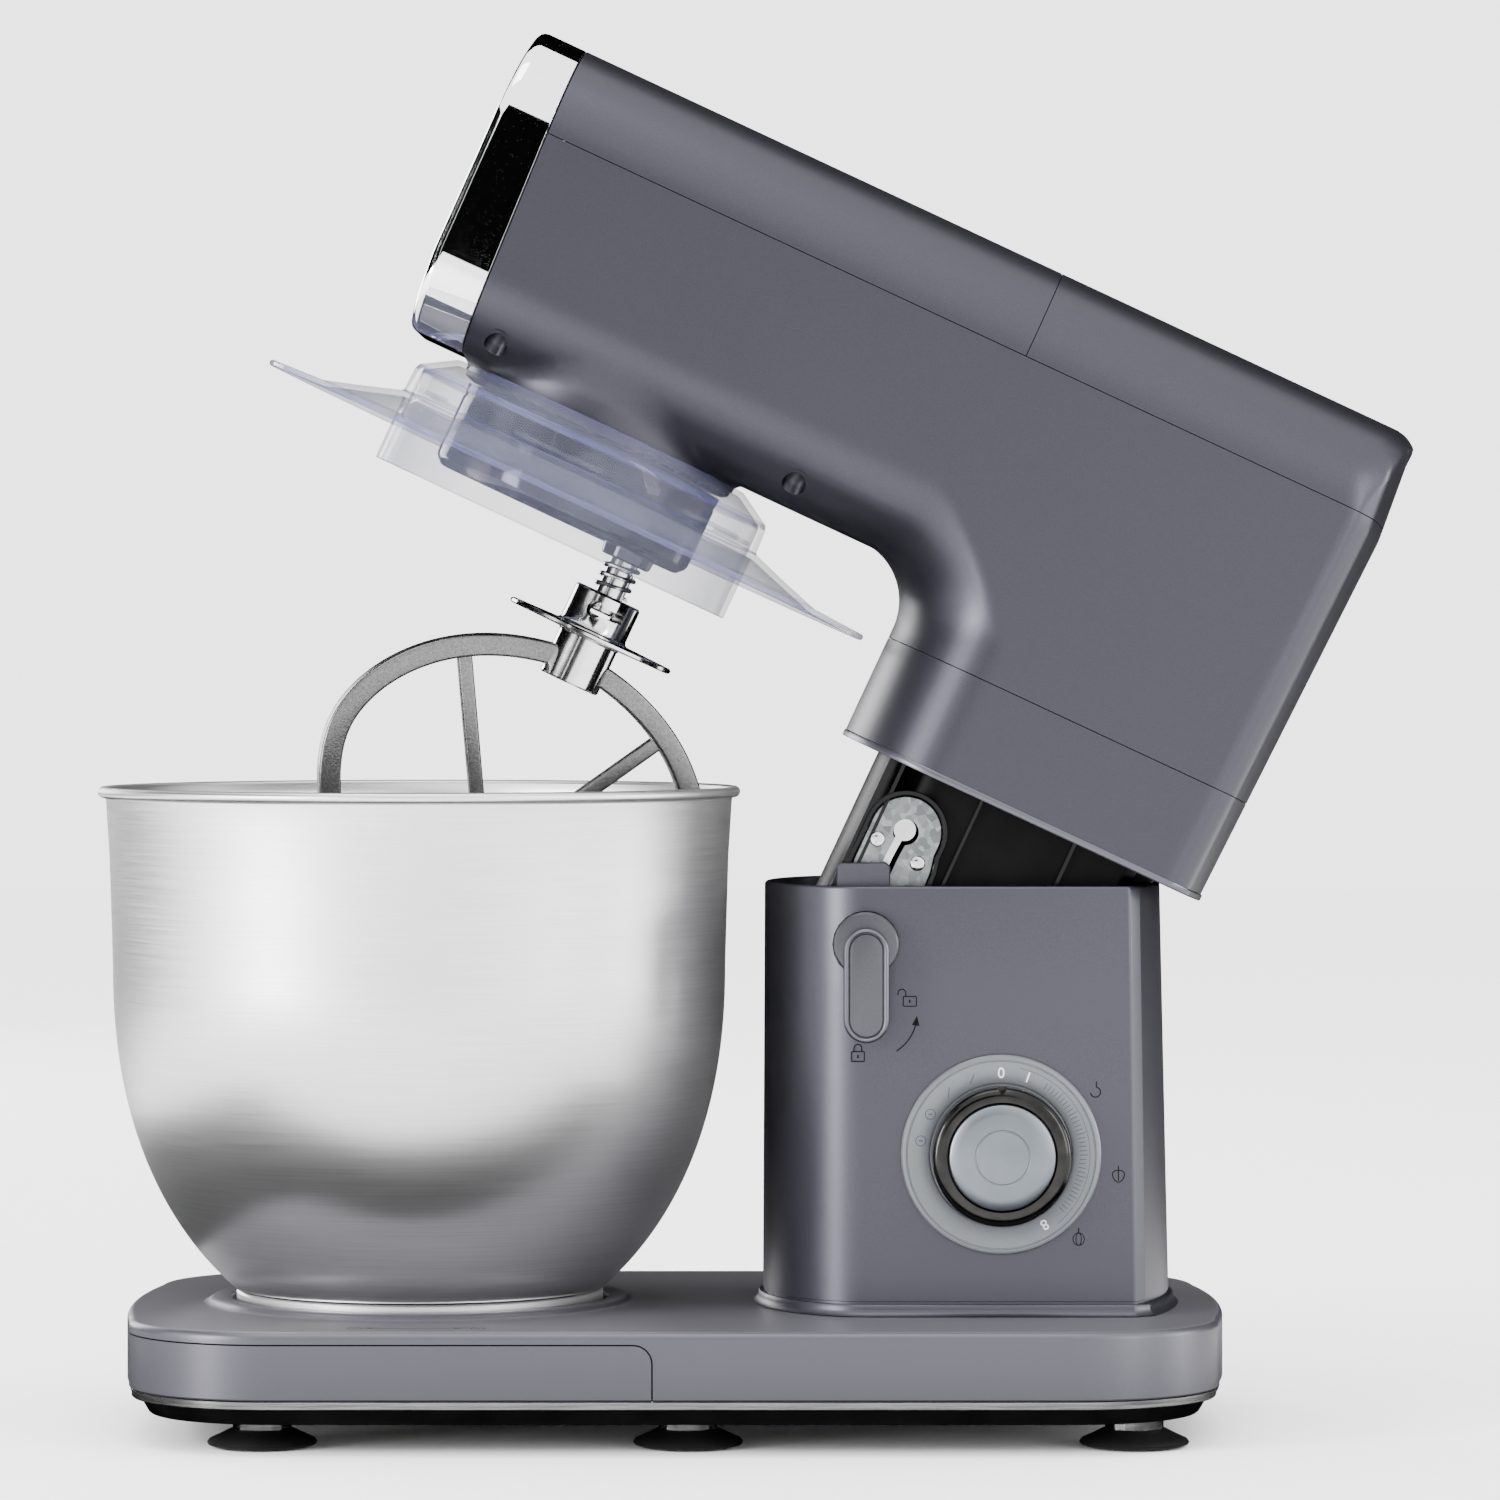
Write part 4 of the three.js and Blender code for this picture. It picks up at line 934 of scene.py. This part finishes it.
def band_front(z):
    heights = [250.4, 262, 280, 306, 335, 350, 361.4]
    return float(np.interp(z, heights, [-186.2, -187.4, -188.6, -189.3, -189.2, -188.9, -188.3]))


band = [(0.3, band_back, 0), (0, band_back, -0.3), (0, band_back, -0.6), (0, band_front, 3.4),
        (0, band_front, 3), (0.3, band_front, 1.6), (1, band_front, 0.6), (2, band_front, 0.1),
        (2.6, band_front, 0), (3.8, band_front, 0), (4.6, band_front, 0.3), (5, band_front, 0.9),
        (5, band_front, 6)]
band_rings = [section_ring(lambda z, base=base, shift=shift: base(z) + shift, inset)
              for inset, base, shift in band]
band_rings.append(section_ring(lambda z: band_back(z), 5))
piece("nose_band", loft(band_rings, closed=True), "head", CHROME, "chrome", "front_band", sharp=25)
panel = [(5.2, 9), (5.2, 2.4), (5.8, 1.7), (7, 1.4), (14, 1.1), (26, 0.9)]
panel_rings = [section_ring(lambda z, shift=shift: band_front(z) + shift, inset) for inset, shift in panel]
piece("nose_panel", loft(panel_rings, caps=True), "head", GLOSS_BLACK, "black_plastic", "front_panel")

# ---------------------------------------------------------------- neck
NECK_CORE = {"tip": 20, "shoulder": 46, "flat": 112, "edge": 116, "edge_y": 36, "rear": 118, "half": 40}
core = stack(lambda inset: tower_outline(NECK_CORE, inset, 2.5),
             [(3, 128.4), (0.5, 128), (0, 128.5), (0, 242), (3, 242)], closed=True)
neck = piece("neck_core", core, "head", BLACK, "black_plastic", "neck_frame")
slot_path = rounded([(34.6, 110, 0), (46.6, 110, 0), (46.6, 172, 5.9), (34.6, 172, 5.9)], 8, closed=True)
cut(neck, facing(prism(slot_path, 34, 46)))
PLATE_X, PLATE_Z = 39.0, 166.5


def plate_outline(grow):
    """The lock plate: round above, with its slanted foot below."""
    r = 12.1 + grow
    foot = [(PLATE_X - r, 160, 0), (PLATE_X - r, 148 - grow, 3), (PLATE_X + 14 + grow, 146 - grow, 3),
            (PLATE_X + 13.2 + grow, 158, 4), (PLATE_X + r, 163, 0)]
    return np.concatenate([arc(PLATE_X, PLATE_Z, r, 0, 180, 28), rounded(foot, 5)])


RIM = [(0.4, 39.6), (0.4, 43.2), (0.7, 43.5), (1.9, 43.5), (2.2, 43.2), (2.2, 39.6)]
piece("plate_rim", facing(stack(plate_outline, RIM, closed=True)), "head", GLOSS_BLACK, "black_plastic")
for x, wide, deep in ((23.6, 2, 41.6), (28.2, 1.2, 42.2), (57.4, 1, 42.4), (92, 1.2, 41.8)):
    rib = rectangle(x, 128, x + wide, 238)
    back = 26 if x < 25 else 38
    piece(f"neck_rib_{round(x)}", facing(prism(rib, back, deep, 0.25)), "head", GLOSS_BLACK,
          "black_plastic")
piece("neck_web", prism(rectangle(112, -30, 123, 30, 2, 4), 170, 241), "head", BLACK, "black_plastic")
plate = facing(stack(plate_outline, [(0, 40.3), (0, 41.9), (-0.2, 42.1)], caps=True))
plate = piece("lock_plate_skin", plate, "head", ZINC, "zinc", "lock_plate")
reach = math.hypot(HINGE_X - PLATE_X, PLATE_Z - HINGE_Z)
start = 180 - math.degrees(math.atan2(PLATE_Z - HINGE_Z, HINGE_X - PLATE_X))
key_slot = np.concatenate([arc(HINGE_X, HINGE_Z, reach + 2.1, start, start + 20, 12),
                           arc(HINGE_X, HINGE_Z, reach - 2.1, start, start + 20, 12)[::-1]])
for outline in (arc(PLATE_X, PLATE_Z, 4.4, 0, 360, 40)[:-1], key_slot):
    cut(plate, facing(prism(outline, 38, 46)))
slider_bar = np.concatenate([arc(HINGE_X, HINGE_Z, reach + 2.1, start, start + 12, 12),
                             arc(HINGE_X, HINGE_Z, reach - 0.5, start, start + 12, 12)[::-1]])
slider_disc = prism(arc(PLATE_X - 0.5, PLATE_Z + 0.5, 3.85, 0, 360, 40)[:-1], 35.2, 36.6, 0.1)
slider = piece("lock_slider", facing(slider_disc), "head", STEEL_PLAIN, "zinc")
cut(slider, facing(prism(slider_bar, 35.2, 36.6)), "UNION")
for number, (x, z) in enumerate([(31.2, 160.4), (47, 158.6)], 1):
    crosshead(f"plate_screw_{number}", x, z, 43.7, 2.6, 1, f"lock_screw_{number}", facing)

# ---------------------------------------------------------------- splash guard
GUARD = [(64.2, 206), (65.7, 206), (66, 206.3), (66.05, 228.4), (66.6, 228.7), (80, 224.4),
         (92.6, 220.5), (111.9, 219.2), (112.5, 219.6), (112.6, 220.6), (112.1, 221.2), (93.5, 222.25),
         (92.8, 222.45), (80, 226.4), (67.6, 230.6), (66.9, 231.2), (66.5, 239.6), (65.6, 241.4),
         (54.4, 248.1), (50.8, 248.3), (50.6, 248), (50.6, 246.4), (53.6, 246.2), (63.4, 240.3),
         (64.1, 239), (64.2, 206)]
GUARD_EDGES = (0, 1, 3, 7, 8, 9, 11, 14, 16, 19, 20, 23)  # the narrow rows, which take the darker edge plastic: painted shade for the lines at the rims
guard = piece("guard_shell", turned(GUARD, BOWL_X, 0, 160), "head", CLEAR, "clear_plastic", "splash_guard",
              sharp=28)
guard.data.materials.append(CLEAR_EDGE)
for face in guard.data.polygons:
    face.material_index = int(face.index // 160 in GUARD_EDGES)


def sector(x, profile, turns):
    """A profile of [radius, height] turned about an upright axis through some angles."""
    rings = [[(x + r * math.cos(turn), r * math.sin(turn), z) for r, z in profile] for turn in turns]
    return loft(rings, caps=True)


LEDGE = rectangle(62.6, 232.4, 64, 234)
for number in range(6):
    turns = np.radians(np.linspace(8, 38, 11) + 60 * number)
    piece(f"guard_ledge_{number}", sector(BOWL_X, LEDGE, turns), "head", CLEAR, "clear_plastic")

# ---------------------------------------------------------------- planetary hub, shaft and beater
DRUM = [(0, 213.8), (17, 213.8), (17.6, 213.1), (37, 213.05), (37.6, 213.5), (39, 213.5), (39.6, 213.05),
        (43.6, 213), (44.8, 213.4), (46.9, 215.5), (47.45, 216.8), (47.5, 238), (47.1, 238.3),
        (47.1, 239.3), (47.5, 239.6), (47.5, 242.6), (46, 242.8), (36, 242.8), (36, 249), (9, 249),
        (9, 280.7), (0, 280.7)]
piece("hub_drum", turned(DRUM, BOWL_X, 0, 160), "carrier", HUB_CHROME, "chrome", "planetary_hub")
BOSS_RING = [(5.4, 213.9), (5.4, 209.8), (6, 209.3), (8.2, 209.3), (9, 209.9), (9.6, 213.9),
             (5.4, 213.9)]
piece("hub_boss", turned(BOSS_RING, BEATER_X, 0, 96), "carrier", HUB_CHROME, "chrome")
SHAFT = [(0, 190), (4.3, 190), (5, 190.7), (5, 205.8), (4.4, 206.2), (4.4, 207.1), (5, 207.5), (5, 273),
         (0, 273)]
piece("shaft_skin", turned(SHAFT, BEATER_X, 0, 64), "beater", STEEL_PLAIN, "steel", "beater_shaft")


def rod(profile, turn, height, segments):
    """A turned rod that lies across the beater's axis at an angle, in radians, and at a height."""
    points, faces = turned(profile, 0, 0, segments)
    c, s = math.cos(turn), math.sin(turn)
    return [(BEATER_X + z * c - y * s, z * s + y * c, height + x) for x, y, z in points], faces


PIN = [(0, -7.4), (1.2, -7.4), (1.5, -7), (1.5, 7), (1.2, 7.4), (0, 7.4)]
piece("cross_pin", rod(PIN, math.radians(-35), 192.4, 24), "beater", STEEL_PLAIN, "steel")


def coil(x, radius, low, high, turns, wire):
    """A round wire wound about an upright axis."""
    rings = []
    for t in np.linspace(0, 1, int(turns * 28)):
        turn = 2 * math.pi * turns * t
        centre = np.array([x + radius * math.cos(turn), radius * math.sin(turn), low + (high - low) * t])
        out = np.array([math.cos(turn), math.sin(turn), 0])
        rings.append([centre + wire * (math.cos(a) * out + math.sin(a) * np.array([0, 0, 1]))
                      for a in np.linspace(0, 2 * math.pi, 8, endpoint=False)])
    return loft(rings, caps=True)


piece("shaft_spring", coil(BEATER_X, 6, 197.4, 208.6, 3.2, 0.7), "beater", STEEL_PLAIN, "steel")
SOCKET = [(0, 163.6), (5, 163.6), (5.4, 163.3), (10.2, 163.3), (10.8, 163.9), (10.8, 179.6),
          (11.4, 180.2), (29.6, 180.5), (30.3, 181), (30.3, 181.9), (29.7, 182.4), (13.2, 182.9),
          (12.4, 183.4), (12.1, 184.2), (12.1, 195.6), (11.4, 196.5), (6.4, 196.5), (5.5, 196),
          (5.5, 186), (0, 186)]
socket = piece("beater_socket", turned(SOCKET, BEATER_X, 0, 128), "beater", SOFT_CHROME, "steel",
               "beater_hub")


SIDE_HOLE = [(0, 0), (3, 0), (3, 20), (0, 20)]
TRACK = rectangle(3, 188.7, 15, 192.1)
ENTRY = rectangle(3, 189, 15, 199)
for turn in (math.radians(-100), math.radians(80)):
    cut(socket, rod(SIDE_HOLE, turn, 190.3, 32))
    cut(socket, sector(BEATER_X, TRACK, np.linspace(turn, turn + 0.75, 8)))
    cut(socket, sector(BEATER_X, ENTRY, (turn + 0.6, turn + 0.92)))


def bezier(a, b, c, d, steps):
    """Points on a cubic curve, without its last."""
    t = np.linspace(0, 1, steps, endpoint=False)[:, None]
    a, b, c, d = (np.array(p, float) for p in (a, b, c, d))
    return (1 - t) ** 3 * a + 3 * (1 - t) ** 2 * t * b + 3 * (1 - t) * t ** 2 * c + t ** 3 * d


def sweep(path, wide, deep, corner, closed=False):
    """A bar with round edges along a path in X and Z, twisted and placed as the beater is."""
    path = np.asarray(path, float)
    along = np.roll(path, -1, 0) - np.roll(path, 1, 0) if closed else np.gradient(path, axis=0)
    along /= np.linalg.norm(along, axis=1)[:, None]
    section = rectangle(-wide / 2, -deep / 2, wide / 2, deep / 2, corner)
    c, s = math.cos(math.radians(13)), math.sin(math.radians(13))
    rings = []
    for (x, z), (tx, tz) in zip(path, along):
        flat = [(x - tz * u, v, z + tx * u) for u, v in section]
        rings.append([(BEATER_X + c * a - s * b, s * a + c * b, h) for a, b, h in flat])
    return loft(rings, caps=not closed, closed=closed)


MIDLINE = 3.75  # from the beater's outline to the middle of its bar
WIDE = 70.5 - MIDLINE
right = np.concatenate([
    bezier((0, 53 + MIDLINE), (40 - MIDLINE, 53 + MIDLINE), (WIDE, 92 + MIDLINE / 2), (WIDE, 118), 34),
    bezier((WIDE, 118), (WIDE, 138), (48 - MIDLINE / 2, 172 - MIDLINE), (0, 175 - MIDLINE), 34),
    [(0, 175 - MIDLINE)]])
leaf = np.concatenate([right, (right * [-1, 1])[-2:0:-1]])
piece("beater_leaf", sweep(leaf, 7.5, 7.5, 0.9, closed=True), "beater", CAST, "cast_aluminium",
      "beater_frame")
RIBS = {"right": ((1.5, 96), (38.2, 158.8)), "left": ((-1.5, 96), (-38.2, 158.8)),
        "middle": ((0, 56), (0, 97))}
for name, ends in RIBS.items():
    piece(f"beater_rib_{name}", sweep(np.linspace(*ends, 12), 5, 5, 0.9), "beater", CAST, "cast_aluminium")

# ---------------------------------------------------------------- cord inlet
INLET = [(0, 151.6), (5, 151.6), (5, 156), (7.2, 156.1), (7.5, 156.4), (7.5, 158.4), (7.2, 158.7),
         (5, 158.8), (5, 161.6), (4.6, 162), (2.8, 162), (2.8, 155), (0, 155)]
low, high = size("cord_gland")
inlet_points, inlet_faces = turned(INLET, 0, 0, 48)
shift = high.x - 162
inlet_points = [(z + shift, y, (low.z + high.z) / 2 + x) for x, y, z in inlet_points]
piece("cord_inlet", (inlet_points, inlet_faces), "stand", RUBBER, "black_plastic", "cord_gland")

# ---------------------------------------------------------------- stage, light and camera


def sheet(name, low, high, look, shown=True):
    """A flat stage sheet, in metres, between two opposite corners that share one coordinate."""
    across, up = (axis for axis in range(3) if low[axis] != high[axis])
    corners = [list(low) for _ in range(4)]
    for corner in (1, 2):
        corners[corner][across] = high[across]
    for corner in (2, 3):
        corners[corner][up] = high[up]
    data = bpy.data.meshes.new(name)
    data.from_pydata(corners, [], [(0, 1, 2, 3)])
    data.materials.append(look)
    obj = bpy.data.objects.new(name, data)
    bpy.context.scene.collection.objects.link(obj)
    obj.visible_camera = shown
    return obj


PAPER = moulded("floor_paper", (0.95, 0.95, 0.95), (0.97, 0.97, 0.97), 0.8, 40, 0)
CARD = moulded("card_paper", (0.0005, 0.0005, 0.0005), (0.001, 0.001, 0.001), 0.9, 40, 0)
sheet("floor", (-4, -4, -0.0005), (4, 5, -0.0005), PAPER)
# Black cards that only show as reflections: they darken the metal and cast no shadow.
CARDS = (
    ("front_card", (-1.3, -2.6, 0.36), (0.33, -2.6, 1.2)),
    ("left_card", (-0.45, -0.75, 0.36), (-0.45, 0.35, 0.7)),
    ("floor_card", (-0.5, -0.235, 0.001), (0.3, 0.5, 0.001)),
    ("far_floor_card", (-1.8, 0.5, 0.001), (1.8, 2.6, 0.001)),
    ("back_card", (-1.8, 2.6, 0), (1.8, 2.6, 2.4)),
    ("ceiling_card", (-1.8, 0.9, 2.4), (1.8, 2.6, 2.4)),
    ("side_card", (-1.8, 0.1, 0), (-1.8, 2.6, 2.4)),
    ("side_card", (1.8, 0.5, 0), (1.8, 2.6, 2.4)))
for name, low, high in CARDS:
    card = sheet(name, low, high, CARD, shown=False)
    card.visible_diffuse = card.visible_shadow = card.visible_transmission = False


def softbox(name, place, target, wide, tall, power):
    """A soft rectangular lamp aimed at a point."""
    lamp = bpy.data.lights.new(name, "AREA")
    lamp.shape, lamp.size, lamp.size_y, lamp.energy = "RECTANGLE", wide, tall, power
    obj = bpy.data.objects.new(name, lamp)
    obj.location = place
    obj.rotation_euler = (Vector(target) - Vector(place)).to_track_quat("-Z", "Y").to_euler()
    obj.visible_camera = False
    bpy.context.scene.collection.objects.link(obj)


softbox("top_light", (-0.2, -0.6, 1.9), (0, 0, 0.2), 1.2, 0.8, 14)
softbox("left_light", (-1.7, -1.25, 0.6), (0, 0, 0.22), 0.5, 1.3, 75)
softbox("right_light", (1.6, -1.5, 0.7), (0, 0, 0.22), 0.4, 1.3, 20)
softbox("edge_light", (1.7, 0, 0.35), (0.15, 0, 0.15), 0.3, 0.6, 12)
softbox("back_fill", (-1.3, 1.8, 0.7), (0, 0, 0.2), 0.8, 1.0, 25)

world = bpy.data.worlds.new("studio")
world.use_nodes = True
world.node_tree.nodes["Background"].inputs["Color"].default_value = (1, 1, 1, 1)
world.node_tree.nodes["Background"].inputs["Strength"].default_value = 3.2
bpy.context.scene.world = world

camera = bpy.data.cameras.new("camera")
camera.lens, camera.sensor_width = 156, 36
camera.clip_end = 20
eye = bpy.data.objects.new("camera", camera)
eye.location = (0, -2.243, 0.2655)
eye.rotation_euler = (math.radians(90 - 0.881), 0, 0)
bpy.context.scene.collection.objects.link(eye)
bpy.context.scene.camera = eye
